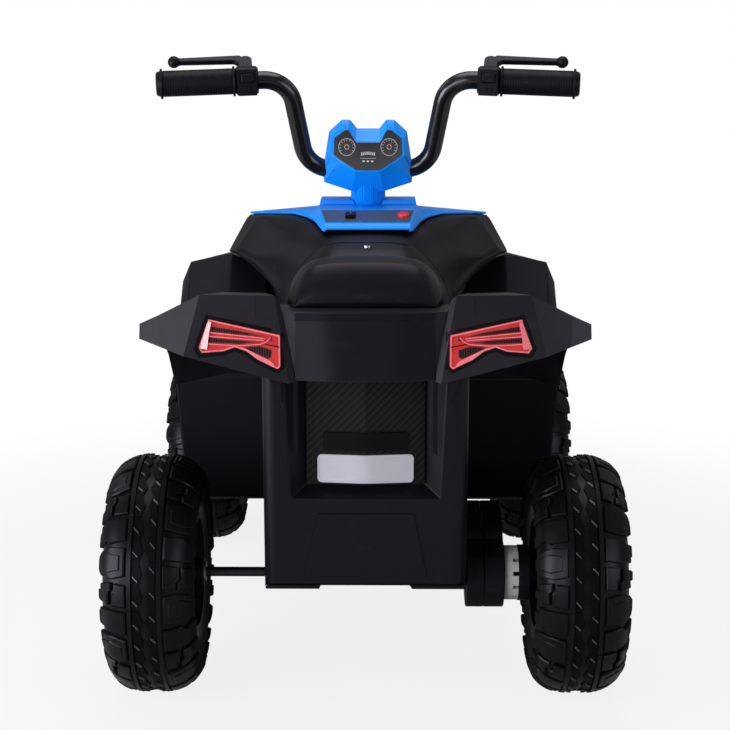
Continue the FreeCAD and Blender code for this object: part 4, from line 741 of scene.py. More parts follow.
def skin_mesh(name, grid, drop=None):
    """A grid as a mesh, without the faces whose middle the drop rule names."""
    rows, columns = grid.shape[:2]
    points = [Vector(point) for point in grid.reshape(-1, 3)]
    faces = []
    for row in range(rows - 1):
        for column in range(columns - 1):
            start = row * columns + column
            face = [start, start + 1, start + columns + 1, start + columns]
            if drop is None or not drop(sum((points[index] for index in face), Vector()) / 4):
                faces.append(face)
    mesh = bpy.data.meshes.new(name)
    mesh.from_pydata([tuple(point) for point in points], [], faces)
    return mesh


def thickened(made, wall):
    """Gives a skin its wall on the inner side."""
    shell = made.modifiers.new("wall", "SOLIDIFY")
    shell.thickness = wall * MM
    shell.offset = -1
    return made


# Half section of a tyre's carcass from the crown to the bead: distance from the middle plane, and radius.
TYRE_LINE = ((0, 145.4), (10, 145.1), (20, 144.0), (30, 141.2), (39, 136.6), (46.5, 129.8), (51.6, 121),
             (54, 111), (54.6, 103), (54.2, 95), (53, 88), (51, 81), (48.5, 75))
# Points that the round line takes between two of those.
TYRE_STEPS = 4
# Inner wall of the carcass, and the radius at the middle of its hollow.
TYRE_INNER = ((40, 72), (-40, 72))
TYRE_HOLLOW = 100
# Facets round a tyre, and the length of a facet on a lug.
TYRE_FACETS = 120
LUG_STEP = 9
# How deep a block is rooted in the carcass.
ROOT = -1.5
# Across from the middle: the two edges of a rail, and the band's teeth, notches and outer edge.
RAIL = (14.8, 19.4)
BAND_TOOTH = 1.6
BAND_NOTCH = 6.2
BAND_EDGE = 13.2
# How far the sides of lugs, of caps and of thin blocks lean in.
LUG_SLOPE = 2.4
CAP_SLOPE = 2.2
THIN_SLOPE = 0.9
# From the top of a lug: foot and top of a cap, top of the band, and foot and top of a tick.
CAP_FOOT, CAP_TOP = -0.6, 1.0
BAND_TOP = -2.6
TICK_FOOT, TICK_TOP = -3.4, -0.4
# One pitch of tread in millimetres: across from the middle, and round the crown. The cap lies on a lug.
LUGS = (
    ("lug", ((21, 27), (43, 25), (49, 30), (72, 27), (72, 45), (61, 47), (61, 56), (40, 58), (21, 56))),
    ("lug", ((21, -56), (39, -55), (39, -41), (35, -37), (35, -25), (21, -27))),
    ("lug", ((43, -54), (72, -51), (72, -38), (58, -36), (58, -26), (39, -24), (39, -34), (43, -38))),
    ("lug", ((22, -17), (38, -21), (57, -17), (71, -6), (71, 8), (57, 18), (38, 21), (22, 18))),
    ("cap", ((27, -9), (42, -13), (56, -7), (62, 1), (56, 8), (42, 13), (27, 9))),
)


def smooth_line(points, steps):
    """A rounded line through points."""
    full = [Vector(point) for point in points]
    full = [Vector((-full[1].x, full[1].y))] + full + [full[-1] * 2 - full[-2]]
    line = []
    for index in range(1, len(full) - 2):
        a, b, c, d = full[index - 1:index + 3]
        for step in range(steps):
            t = step / steps
            line.append(0.5 * (2 * b + (c - a) * t + (2 * a - 5 * b + 4 * c - d) * t * t
                               + (3 * b - a - 3 * c + d) * t ** 3))
    return line + [full[-2]]


class TyreForm:
    """Places on a tyre by distance across from the crown, distance round and height."""

    def __init__(self, line):
        self.line = line
        self.reach = [0.0]
        for before, after in zip(line, line[1:]):
            self.reach.append(self.reach[-1] + (after - before).length)

    def spot(self, across, height):
        size = min(abs(across), self.reach[-1] - 0.01)
        index = max(i for i in range(len(self.reach) - 1) if self.reach[i] <= size)
        span = self.line[index + 1] - self.line[index]
        point = self.line[index] + span * (size - self.reach[index]) / span.length
        out = Vector((-span.y, span.x)).normalized()
        if out.dot(Vector((point.x, point.y - TYRE_HOLLOW))) < 0:
            out = -out
        point = point + out * height
        return math.copysign(point.x, across), point.y

    def place(self, across, turn, height):
        x, radius = self.spot(across, height)
        return Vector((x, radius * math.cos(turn), radius * math.sin(turn))) * MM


def lug_block(outline, low, high, slope):
    """One lug in flat space as points (across, round, height) and faces, gridded to bend over the tyre."""
    middle = Vector((sum(u for u, v in outline), sum(v for u, v in outline))) / len(outline)
    work = bmesh.new()
    rows = []
    for inset, height in ((0, low), (0.25 * slope, high - 0.5 * slope), (slope, high)):
        row = []
        for corner in outline:
            away = Vector(corner) - middle
            spot = middle + away * (1 - inset / max(away.length, 2 * slope))
            row.append(work.verts.new((spot.x, spot.y, height)))
        rows.append(row)
    for lower, upper in zip(rows, rows[1:]):
        for index in range(len(lower)):
            after = (index + 1) % len(lower)
            work.faces.new((lower[index], lower[after], upper[after], upper[index]))
    work.faces.new(rows[-1])
    work.faces.new(reversed(rows[0]))
    cut_grid(work, (0, 1), LUG_STEP, SAME_CUT)
    work.verts.index_update()
    points = [tuple(vertex.co) for vertex in work.verts]
    faces = [[vertex.index for vertex in face.verts] for face in work.faces]
    work.free()
    return points, faces


# Teeth of the band over one pitch.
TEETH = 4


def tread_blocks(pitch):
    """Every raised block of one pitch on one side of the crown."""
    lug = bpy.context.scene.quad_sizes.lug / MM
    blocks = []
    for kind, outline in LUGS:
        if kind == "lug":
            blocks.append(lug_block(outline, ROOT, lug, LUG_SLOPE))
        else:
            blocks.append(lug_block(outline, lug + CAP_FOOT, lug + CAP_TOP, CAP_SLOPE))
    half = pitch / 2
    inner, outer = RAIL
    rail = ((inner, -half), (outer, -half), (outer, half), (inner, half))
    blocks.append(lug_block(rail, ROOT, lug, THIN_SLOPE))
    return blocks


def tread_band(pitch):
    """The low toothed band between the rails, over one pitch on one side of the crown."""
    lug = bpy.context.scene.quad_sizes.lug / MM
    half = pitch / 2
    zigzag = []
    for index in range(2 * TEETH + 1):
        across = BAND_TOOTH if index % 2 else BAND_NOTCH
        zigzag.append((across, -half + pitch * index / (2 * TEETH)))
    band = zigzag + [(BAND_EDGE, half), (BAND_EDGE, -half)]
    return [lug_block(band[::-1], ROOT, lug + BAND_TOP, THIN_SLOPE)]


def tread_ticks(pitch):
    """The thin slanting ribs beside the middle of the crown, over one pitch."""
    lug = bpy.context.scene.quad_sizes.lug / MM
    ticks = []
    for index in range(TEETH):
        spot = -pitch / 2 + pitch * (index + 0.3) / TEETH
        tick = ((6.6, spot - 4), (13, spot + 3), (13, spot + 5.2), (6.6, spot - 1.8))
        ticks.append(lug_block(tick, lug + TICK_FOOT, lug + TICK_TOP, THIN_SLOPE))
    return ticks


def tyre_mesh():
    """A carcass with its tread, about the origin with its axle along X."""
    form = TyreForm(smooth_line(TYRE_LINE, TYRE_STEPS))
    points, faces = [], []
    section = [(-x, r) for x, r in form.line[:0:-1]] + [tuple(spot) for spot in form.line]
    section += TYRE_INNER
    for index in range(TYRE_FACETS):
        turn = 2 * math.pi * index / TYRE_FACETS
        points += [Vector((x, r * math.cos(turn), r * math.sin(turn))) * MM for x, r in section]
    rows = len(section)
    for index in range(TYRE_FACETS):
        after = (index + 1) % TYRE_FACETS
        for row in range(rows):
            below = (row + 1) % rows
            faces.append([index * rows + row, index * rows + below, after * rows + below, after * rows + row])
    return mesh_from("tread", *round_tyre(form, tread_blocks, points, faces))


def tread_mesh(name, maker):
    """One kind of tread block round a whole tyre."""
    form = TyreForm(smooth_line(TYRE_LINE, TYRE_STEPS))
    return mesh_from(name, *round_tyre(form, maker, [], []))


def round_tyre(form, maker, points, faces):
    """Repeats the blocks of one pitch round both sides of a tyre."""
    count = bpy.context.scene.quad_sizes.pitches
    crown = TYRE_LINE[0][1] + bpy.context.scene.quad_sizes.lug / MM
    pitch = 2 * math.pi * crown / count
    blocks = maker(pitch)
    for sign in (-1, 1):
        shift = 0.5 if sign < 0 else 0.0
        for index in range(count):
            for spots, block_faces in blocks:
                base = len(points)
                for across, along, height in spots:
                    turn = (along / pitch + index + shift) * 2 * math.pi / count
                    points.append(form.place(sign * across, turn * sign, height))
                faces += [[base + spot for spot in face] for face in block_faces]
    return points, faces


# End-view half lines of the seat and of the tank in millimetres, from the back to the front.
SEAT_LINES = (
    (-455, ((0, 509), (27, 509), (59, 509), (76, 509), (83, 508.6), (83, 508.3))),
    (-455, ((0, 527), (27, 527), (59, 525), (76, 518), (83, 510.3), (83, 508.3))),
    (-439, ((0, 551), (27, 551), (60, 548), (78, 535), (88, 517.3), (88, 508.3))),
    (-431, ((0, 557), (27, 557), (61, 554), (79, 540), (89.5, 518.3), (89.5, 508.3))),
    (-430.8, ((0, 557), (27, 557), (61, 554), (79, 540), (89.5, 518.3), (89.5, 440.3))),
    (-401, ((0, 564), (26, 564), (62, 560), (81, 546), (94, 519), (95, 440.3))),
    (-355, ((0, 541), (28.5, 541), (63, 537), (83, 525), (97, 497), (101, 440.3))),
    (-290, ((0, 502), (28.5, 503), (65, 502), (87, 492), (102, 466), (112, 440.3))),
    (-220, ((0, 490), (28.5, 491), (65, 490), (89, 482), (104.5, 462), (114, 440.3))),
    (-146.7, ((0, 500), (25, 500), (57, 497), (82, 484), (101, 464), (112, 440.3))),
    (-95.3, ((0, 528), (24, 528), (55, 526), (78, 510), (100, 480), (113, 440.3))),
    (-73.3, ((0, 536), (25, 536), (57, 535), (80, 518), (104, 490), (119, 440.3))),
)
TANK_LINES = (
    (-73, ((0, 536), (62, 533), (102, 492), (118, 444))),
    (-47, ((0, 546), (70, 543), (116, 496), (120, 443))),
    (-5, ((0, 550), (100, 546), (155, 500), (124, 443))),
    (65, ((0, 560), (157, 556), (193, 505), (127, 443))),
    (115, ((0, 562), (177, 553), (208, 497), (160, 488))),
    (185, ((0, 552), (177, 545), (208, 485), (160, 478))),
    (265, ((0, 538), (165, 528), (195, 470), (150, 462))),
)


class QUAD_OT_rear_body(Operator):
    """Rear box with its corner posts, twill panel, bare plate and raised lower panel"""
    bl_idname = "quad.rear_body"
    bl_label = "Rear body"

    # How far forward the corner posts reach, and how near the side wall they lie, in millimetres.
    post_reach = 60
    post_margin = 1
    # Outlines as seen from behind, in millimetres across and up. Tab and ledge are those of the right post.
    plate_outer = rounded_box(-57.2, 291.3, 57.2, 325.7, 5)
    plate_inner = rounded_box(-55.4, 293.1, 55.4, 323.9, 3.4)
    lower_panel = ((-57, 256), (-73, 178), (73, 178), (57, 256))
    cover_block = rounded_box(-50, 331, 50, 353, 2)
    tab = ((114, 425), (98, 425), (98, 394))
    ledge = ((95.4, 424), (95.4, 322), (88, 322), (80, 331), (80, 424))
    ledge_back = -430.8
    ledge_front = -424

    def execute(self, context):
        self.rear_box(context.scene.quad_sizes.post)
        dress("rear_cover", "twill_panel", 0.5)
        laid_on("plate_face", "number_plate", [self.plate_outer], "back", 0, "plate", sink=1.9,
                stands_for=("number_plate",))
        rim = ring(self.plate_outer, self.plate_inner)
        laid_on("plate_rim", "number_plate", rim, "back", 0.7, "plate", sink=0.6)
        laid_on("lower_panel", "lower_body", [self.lower_panel], "back", 1.8, "black_plastic", sink=0.8,
                step=30)
        # The cover block is a dark sheet of painted shade in the recess below the twill panel.
        laid_on("cover_block", "rear_cover", [self.cover_block], "back", 3.2, "shade_and_joint_plastic", sink=1.0,
                step=12)
        for side, sign in SIDES:
            laid_on("post_tab_" + side, "lower_body", [mirrored(self.tab, sign)], "back", 3.6,
                    "black_plastic", sink=0.8, step=30)
            sections = ((self.ledge_back, self.ledge), (self.ledge_front, self.ledge))
            ledge = drawn_out("post_ledge_" + side, sections, sign)
            piece_from("post_ledge_" + side, ledge, "black_plastic", "chassis")
        return {"FINISHED"}

    def rear_box(self, rounding):
        """The tub, with the upright corners of its rear box rounded into posts."""
        work = joined_surface("lower_body")
        low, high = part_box("lower_body")
        posts = []
        for edge in work.edges:
            start, end = (vertex.co for vertex in edge.verts)
            upright = abs(end.z - start.z) > 0.9 * edge.calc_length()
            outer = min(abs(start.x), abs(end.x)) > high.x - self.post_margin * MM
            behind = max(start.y, end.y) < low.y + self.post_reach * MM
            if upright and outer and behind:
                posts.append(edge)
        bmesh.ops.bevel(work, geom=posts, offset=rounding, segments=6, profile=0.5, affect="EDGES",
                        clamp_overlap=False)
        mesh = bpy.data.meshes.new("rear_body_moulding")
        work.to_mesh(mesh)
        work.free()
        made = piece_from("lower_body_moulding", mesh, "black_plastic", "chassis", ("lower_body",))
        round_edges(made, 1.4, 32)
        made.modifiers.new("even shading", "WEIGHTED_NORMAL").keep_sharp = True


class QUAD_OT_fenders(Operator):
    """Rear fender with its lamps, footboards and front fenders"""
    bl_idname = "quad.fenders"
    bl_label = "Fenders and lamps"

    # The right lamp as seen from behind, in millimetres across and up.
    outline = ((177, 501), (96, 483), (95.5, 448), (99, 445), (122, 456), (134, 465), (147, 469.5),
               (160, 465), (185, 463), (188.5, 469))
    slots = (((173.6, 493), (174.9, 487.1), (111.4, 480.6), (131.5, 485.8)),
             ((176.7, 480.6), (178.4, 474.8), (140.5, 473.2), (119, 475.4), (153.3, 478.4)),
             ((138.6, 469.6), (118.8, 471), (105, 466.3), (106.1, 458.2), (109.7, 456.8)),
             ((106.2, 483), (104.4, 476.8), (108.7, 476.8)))
    ribbed_slots = 3
    bars = (((176, 486), (113, 479.4)), ((177.2, 481.8), (114, 477.2)), ((178.4, 473.4), (156.7, 471.8)),
            ((156.7, 471.8), (140.6, 471.4)), ((140.6, 471.4), (118, 472.9)), ((118, 472.9), (111.5, 475.6)),
            ((111.5, 475.6), (106.4, 480.6)))
    bar_width = 1.1
    end_band = ((176.8, 498.6), (173.4, 498), (176.2, 484.4), (178.4, 467.4), (185.4, 468), (186.4, 470.8),
                (181.4, 485.6))
    end_slope = 0.22
    low_band = ((141, 469.6), (136.6, 468.9), (107.2, 454.6), (102.4, 450.2), (103.4, 448.6), (121.6, 457.6),
                (127, 461), (133.6, 466.4))
    split = ((113.9, 473.6), (96.8, 470.3), (96.8, 469.2), (113.9, 472.7))
    # How far the surround and the rim lie outside the lamp's outline: the surround is a dark sheet of painted
    # shade standing for the lamp's recess, and the rim is pale with painted highlight.
    surround = (4.6, 0.5)
    rim = (-0.3, -1.9)
    # Upright ribs in a slot: distance apart, half their width, gap at their ends and least height.
    rib_pitch = 2.6
    rib_half = 0.45
    rib_gap = 0.7
    rib_least = 1.5
    # The middle of the rear fender as seen from behind: its raised panel, and the band along its top edge.
    panel = ((-79, 497), (-80, 431), (80, 431), (79, 497))
    band = ((-80, 506.6), (-80, 497.6), (80, 497.6), (80, 506.6))
    # The right seam of the fender: across, up, width and height.
    seam = (124, 514, 0.5, 22)
    # End-view sections on the right, each after its place along: the footwell's lip and the deck's riser.
    well_lip = ((131.6, ((146, 390), (156.5, 394.6), (210.5, 404.4), (259, 400.6), (259, 390))),
                (139.4, ((144, 390), (156.5, 397.4), (210.5, 408.6), (259, 404.8), (259, 390))))
    riser = ((-479.5, ((95.2, 506), (97.6, 519), (100.2, 517), (98, 506))),
             (-431, ((103.5, 506), (104.8, 512), (107.4, 510), (106.2, 506))),
             (-430, ((104.4, 441), (104.9, 511.9), (107.4, 509.9), (107.2, 441))),
             (-335, ((118.4, 441), (118.7, 498), (121, 496), (121, 441))),
             (-245, ((122.8, 441), (123.6, 445.6), (125.6, 444), (125.4, 441))))

    def execute(self, context):
        # The rear fender is in the lightened black, which is painted light.
        fender = dress("rear_fender", "painted_light_fender_plastic", 1.5, angle=14, smooth=50)
        fender.modifiers["rounded edges"].use_clamp_overlap = True
        laid_on("fender_panel", "rear_fender", [self.panel], "back", 1.1, "black_plastic", sink=0.8, step=12)
        laid_on("fender_band", "rear_fender", [self.band], "back", 0.12, "dull_plastic", sink=0.8, step=12)
        for side, sign in SIDES:
            self.lamp("tail_lamp_" + side, sign)
            x, z, width, height = self.seam
            seam = [bar(sign * x, z, width, height, 0)]
            laid_on("fender_seam_" + side, "rear_fender", seam, "back", 0.12, "shade_and_joint_plastic", step=8)
            riser = drawn_out("fender_riser_" + side, self.riser, sign)
            piece_from("fender_riser_" + side, riser, "black_plastic", "chassis")
        for side, sign in SIDES:
            dress("footboard_" + side, "dull_plastic", 1.4)
            lip = drawn_out("well_lip_" + side, self.well_lip, sign)
            piece_from("well_lip_" + side, lip, "dull_plastic", "chassis")
            # The front fenders share the lightened black, which is painted light.
            dress("front_fender_" + side, "painted_light_fender_plastic", 1.2, angle=18, smooth=50)
        return {"FINISHED"}

    def lamp(self, lamp, sign):
        """A tail lamp: red lens, a dark surround of painted shade, rim and bars in pale painted highlight,
        slots darkened with painted shade, and their ribs.
        """
        dress(lamp, "red_lens", 0.9, suffix="lens")
        # The surround is a dark sheet of painted shade where the lamp sits in its recess.
        surround = ring(*(self.grown(amount) for amount in self.surround))
        laid_on(lamp + "_surround", "rear_fender", all_mirrored(surround, sign), "back", 0.15,
                "shade_and_joint_plastic", sink=1.0, step=20)
        # The rim, the bars and the low band are pale pink, a painted highlight.
        rim = ring(*(self.grown(amount) for amount in self.rim))
        laid_on(lamp + "_rim", lamp, all_mirrored(rim, sign), "back", 0.9, "lens_highlight", step=20)
        bars = [strip(start, end, self.bar_width) for start, end in self.bars]
        bars.append(self.low_band)
        laid_on(lamp + "_bars", lamp, all_mirrored(bars, sign), "back", 1.0, "lens_highlight", step=20)
        self.end_face(lamp, sign)
        # The slots are painted shade: dark red sheets standing in for deep slots in the lens.
        laid_on(lamp + "_slots", lamp, all_mirrored(self.slots, sign), "back", 0.25, "lens_slot_shade", step=20)
        # Their ribs are darkened with the same painted shade.
        ribs = []
        for outline in self.slots[:self.ribbed_slots]:
            ribs += self.ribs_of(outline)
        laid_on(lamp + "_ribs", lamp, all_mirrored(ribs, sign), "back", 0.8, "shade_and_joint_plastic", step=20)
        split = [mirrored(self.split, sign)]
        laid_on(lamp + "_split", lamp, split, "back", 1.1, "shade_and_joint_plastic", step=20)

    def end_face(self, lamp, sign):
        """The outer end of a lens, which slopes away to the side; its pale pink is a painted highlight where
        it would catch the light.
        """
        made = laid_on(lamp + "_end", lamp, [mirrored(self.end_band, sign)], "back", 0.6, "lens_highlight", step=3)
        points = made.data.vertices
        outer = max(abs(vertex.co.x) for vertex in points)
        for vertex in points[len(points) // 2:]:
            vertex.co.y -= (outer - abs(vertex.co.x)) * self.end_slope

    def grown(self, amount):
        """The lamp's outline moved outward all round."""
        count = len(self.outline)
        moved = []
        for index, (x, z) in enumerate(self.outline):
            before = Vector(self.outline[index - 1])
            after = Vector(self.outline[(index + 1) % count])
            here = Vector((x, z))
            first = (here - before).normalized()
            second = (after - here).normalized()
            out = Vector((first.y + second.y, -first.x - second.x)).normalized()
            spread = amount / max(0.5, math.sqrt((1 + first.dot(second)) / 2))
            moved.append(tuple(here + out * spread))
        return moved

    def ribs_of(self, outline):
        """Upright ribs across one slot."""
        places = [x for x, z in outline]
        count = int((max(places) - min(places)) / self.rib_pitch)
        ribs = []
        for index in range(1, count):
            x = min(places) + (max(places) - min(places)) * index / count
            crossings = []
            for (xa, za), (xb, zb) in zip(outline, outline[1:] + outline[:1]):
                if min(xa, xb) <= x < max(xa, xb):
                    crossings.append(za + (zb - za) * (x - xa) / (xb - xa))
            low, top = min(crossings) + self.rib_gap, max(crossings) - self.rib_gap
            left, right = x - self.rib_half, x + self.rib_half
            if top - low > self.rib_least:
                ribs.append([(left, low), (right, low), (right, top), (left, top)])
        return ribs


class QUAD_OT_seat_and_tank(Operator):
    """Seat, tank shell, blue cowl with its switch panel, and nose"""
    bl_idname = "quad.seat_and_tank"
    bl_label = "Seat, tank and cowl"

    # Wall of the skins and length of their facets in millimetres, and the angle that stays smooth.
    wall = 3
    facet = 6
    smooth = 70
    # Facets across each stretch of an end-view line, and rounds of easing.
    seat_facets, seat_rounds = 5, 10
    tank_facets, tank_rounds = 9, 30
    # The tank's skin eases behind, below and inside these limits, fading in over a length; all in metres.
    ease_behind, behind_fade = 0.045, 0.05
    ease_below, below_fade = 0.530, 0.02
    ease_inside, inside_fade = 0.165, 0.04
    least_ease = 0.03
    # The steering column's axis, and the radius in millimetres of the hole that it passes through.
    column_foot = Vector((0, 299.1, 173.5)) * MM
    column_way = Vector((0, -0.4695, 0.8829))
    column_hole = 20
    # Mark on the rocker as seen from above: across, along, width and length.
    rocker_mark = (-24, -10, 1.4, 5)

    def execute(self, context):
        self.seat()
        self.tank()
        dress("cowl", "blue_plastic", 0.9, angle=30, smooth=55)
        dress("nose_panel", "black_plastic", 0.9, angle=30, smooth=55)
        for side, sign in SIDES:
            dress("headlamp_" + side, "clear_lens", 1.0, suffix="lens")
        dress("front_bumper", "black_steel", 0, smooth=60, suffix="tube")
        dress("control_panel", "panel_film", 0.3, suffix="film")
        dress("power_button", "red_plastic", 0.6, suffix="knob")
        dress("direction_switch", "black_plastic", 0.5, suffix="rocker")
        mark = [bar(*self.rocker_mark, 0)]
        laid_on("rocker_mark", "direction_switch", mark, "top", 0.2, "film_mark", sink=0.4)
        return {"FINISHED"}

    def seat(self):
        grid = eased(skin_grid(SEAT_LINES, self.seat_facets, self.facet), self.seat_rounds)
        mesh = skin_mesh("seat_moulding", grid)
        made = piece_from("seat_moulding", mesh, "seat_plastic", "chassis", ("seat",), self.smooth)
        thickened(made, self.wall)

    def tank(self):
        grid = skin_grid(TANK_LINES, self.tank_facets, self.facet)
        behind = (self.ease_behind - grid[..., 1]) / self.behind_fade
        below = (self.ease_below - grid[..., 2]) / self.below_fade
        inside = (self.ease_inside - numpy.abs(grid[..., 0])) / self.inside_fade
        share = numpy.clip(numpy.minimum(numpy.maximum(behind, below), inside), self.least_ease, 1.0)
        mesh = skin_mesh("tank_moulding", eased(grid, self.tank_rounds, share), self.in_column)
        made = piece_from("tank_moulding", mesh, "black_plastic", "chassis", ("tank_shell",), self.smooth)
        thickened(made, self.wall)

    def in_column(self, spot):
        """Whether a place lies in the hole for the steering column."""
        away = spot - self.column_foot
        return (away - self.column_way * away.dot(self.column_way)).length < self.column_hole * MM


class QUAD_OT_wheels(Operator):
    """Treaded tyres, rims and hub caps"""
    bl_idname = "quad.wheels"
    bl_label = "Wheels"

    def execute(self, context):
        tread = tyre_mesh()
        band = tread_mesh("tread_band", tread_band)
        ticks = tread_mesh("tread_ticks", tread_ticks)
        for corner in CORNERS:
            node = corner + "_tyre"
            low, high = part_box(node)
            # The band's darker tyre plastic is painted shade, and the ticks' paler colour a painted glint.
            layers = ((corner + "_tread", tread, "tyre_plastic", (node,)),
                      (corner + "_band", band, "tyre_band_shade", ()),
                      (corner + "_ticks", ticks, "tyre_tick_glint", ()))
            for name, mesh, finish, stands_for in layers:
                made = piece_from(name, mesh, finish, BODY_OF[node], stands_for, 32)
                made.location = (low + high) / 2
                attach(made, BODY_OF[node])
            dress(corner + "_rim", "black_plastic", 0.8, suffix="rim")
            dress(corner + "_cap", "blue_plastic", 0.5, suffix="hubcap")
        return {"FINISHED"}


class QUAD_OT_drive(Operator):
    """Rear axle, gear train, motor, battery and screws"""
    bl_idname = "quad.drive"
    bl_label = "Drive"

    def execute(self, context):
        paint("rear_axle", "black_steel")
        paint("fasteners", "steel")
        paint("drive_motor", "steel")
        paint("battery", "battery_case")
        for node in ("output_gear", "reduction_gear", "motor_pinion"):
            paint(node, "white_plastic")
        for half in ("gearbox_inner", "gearbox_outer"):
            dress(half, "black_plastic", 0.9, suffix="case")
        return {"FINISHED"}


class QUAD_OT_steering(Operator):
    """Front axle, linkage, steering column, handlebar and dash"""
    bl_idname = "quad.steering"
    bl_label = "Steering"

    # Two dials on the film as seen from behind, in millimetres: their place, and the radii of their rings.
    dial_at = 30.0
    dial_height = 657.5
    dial_rings = ((11.9, 11.3), (3.4, 2.8))
    # Ticks round a dial: how many, the first angle and the angle between them, radius, length and width.
    tick_count = 11
    tick_start, tick_turn = -30, 24
    tick_radius = 9.4
    tick_size = (2.4, 0.5)
    # Needles: angle on the left and right dial, radius of their middle, length and width.
    needle_turn = {-1: 118, 1: 62}
    needle_radius = 5.6
    needle_size = (4.6, 0.7)
    # The arched scale between the dials: count of bars, first place, distance apart, height, arch and size.
    scale_count = 8
    scale_start, scale_step = -9, 2.6
    scale_height, scale_arch = 649, 0.10
    scale_size = (1.5, 4.2)
    # Below the scale, a thin line and three small blocks: across, up, width and height.
    low_marks = ((0, 642, 22, 0.5), (-6, 638, 3.2, 2.2), (0, 638, 3.2, 2.2), (6, 638, 3.2, 2.2))

    def execute(self, context):
        for node in ("front_axle_beam", "knuckle_left", "knuckle_right", "tie_rod", "handlebar"):
            paint(node, "black_steel")
        paint("steering_bushes", "white_plastic")
        dress("steering_rod", "black_steel", 0, smooth=40, suffix="column")
        dress("dash_housing", "blue_plastic", 1.0, angle=24, smooth=45)
        dress("gauge_panel", "panel_film", 0.3, suffix="film")
        rings, ticks, needles = [], [], []
        for sign in (-1, 1):
            for outer, inner in self.dial_rings:
                middle = (sign * self.dial_at, self.dial_height)
                rings += ring(circle(*middle, outer), circle(*middle, inner))
            for index in range(self.tick_count):
                turn = self.tick_start + self.tick_turn * index
                ticks.append(self.spoke(sign, turn, self.tick_radius, self.tick_size))
            needles.append(self.spoke(sign, self.needle_turn[sign], self.needle_radius, self.needle_size))
        laid_on("gauge_rings", "gauge_panel", rings, "back", 0.35, "film_mark", sink=0.4, step=60)
        laid_on("gauge_ticks", "gauge_panel", ticks, "back", 0.3, "film_mark", sink=0.4, step=60)
        laid_on("gauge_needles", "gauge_panel", needles, "back", 0.5, "red_plastic", sink=0.4, step=60)
        laid_on("gauge_scale", "gauge_panel", self.scale(), "back", 0.3, "film_mark", sink=0.4, step=60)
        return {"FINISHED"}

    def spoke(self, sign, degrees, radius, size):
        """A bar that points away from the middle of one dial."""
        turn = math.radians(degrees)
        spot = Vector((math.cos(turn), math.sin(turn))) * radius
        return bar(sign * self.dial_at + spot.x, self.dial_height + spot.y, *size, turn)

    def scale(self):
        """The bars of the arched scale and the marks below it."""
        marks = []
        for index in range(self.scale_count):
            drop = self.scale_arch * (index - (self.scale_count - 1) / 2) ** 2
            place = self.scale_start + self.scale_step * index
            marks.append(bar(place, self.scale_height - drop, *self.scale_size, 0))
        return marks + [bar(*mark, 0) for mark in self.low_marks]


class QUAD_OT_handlebar_ends(Operator):
    """Ribbed grips, switch housings, levers and buttons"""
    bl_idname = "quad.handlebar_ends"
    bl_label = "Handlebar ends"

    # On the right housing as seen from behind: the button's frame, and the stud below it.
    frame_outer = rounded_box(154.6, 746.2, 178.6, 764.2, 2.4)
    frame_inner = rounded_box(156.2, 747.8, 177, 762.6, 1.4)
    stud_at = (166.2, 739.4)
    stud_outer = 4.6
    stud_inner = 2.6

    def execute(self, context):
        for side, sign in SIDES:
            node = "grip_" + side
            start, way, reach = axis_of(node)
            mesh = lathe(node + "_ribbed", self.grip_line(reach / MM), start, way)
            piece_from(node + "_ribbed", mesh, "grip_plastic", BODY_OF[node], (node,), 50)
            housing = "switch_housing_" + side
            moulding = dress(housing, "black_plastic", 1.9, suffix="housing")
            moulding.modifiers["rounded edges"].use_clamp_overlap = True
            dress("brake_lever_" + side, "black_plastic", 1.0, suffix="lever")
            dress("bar_button_" + side, "grip_plastic", 0.9, suffix="button")
            edge = all_mirrored(ring(self.frame_outer, self.frame_inner), sign)
            laid_on("button_frame_" + side, housing, edge, "back", 0.9, "black_plastic", sink=0.6, step=12)
            x, z = self.stud_at
            stud = ring(circle(sign * x, z, self.stud_outer), circle(sign * x, z, self.stud_inner))
            laid_on("stud_" + side, housing, stud, "back", 1.9, "grip_plastic", sink=0.6, step=12)
        return {"FINISHED"}

    def grip_line(self, reach):
        """A grip's side line as (along, radius): inner flange, rounded ribs, end flange and crowned end."""
        count = bpy.context.scene.quad_sizes.ribs
        line = [(0, 13.6), (0, 20.2), (0.5, 20.9), (2.6, 20.9), (3.2, 20.2), (3.6, 17.7)]
        start, end = 4.8, reach - 10.8
        step = (end - start) / count
        for index in range(count):
            spot = start + step * index
            line += [(spot, 17.8), (spot + 0.25 * step, 18.03), (spot + 0.5 * step, 18.1),
                     (spot + 0.75 * step, 18.03)]
        line += [(end, 17.8), (reach - 9.8, 17.6), (reach - 9.4, 20.2), (reach - 8.8, 20.9),
                 (reach - 6.8, 20.9), (reach - 6.2, 20.2), (reach - 5.8, 17.6), (reach - 5.0, 17.4),
                 (reach - 1.8, 16.4), (reach - 0.5, 14.9), (reach, 12.4), (reach, 1.0)]
        return line


class QUAD_OT_cockpit(Operator):
    """Foot pedal"""
    bl_idname = "quad.cockpit"
    bl_label = "Pedal"

    def execute(self, context):
        dress("foot_pedal", "grip_plastic", 0.9, suffix="plate")
        return {"FINISHED"}


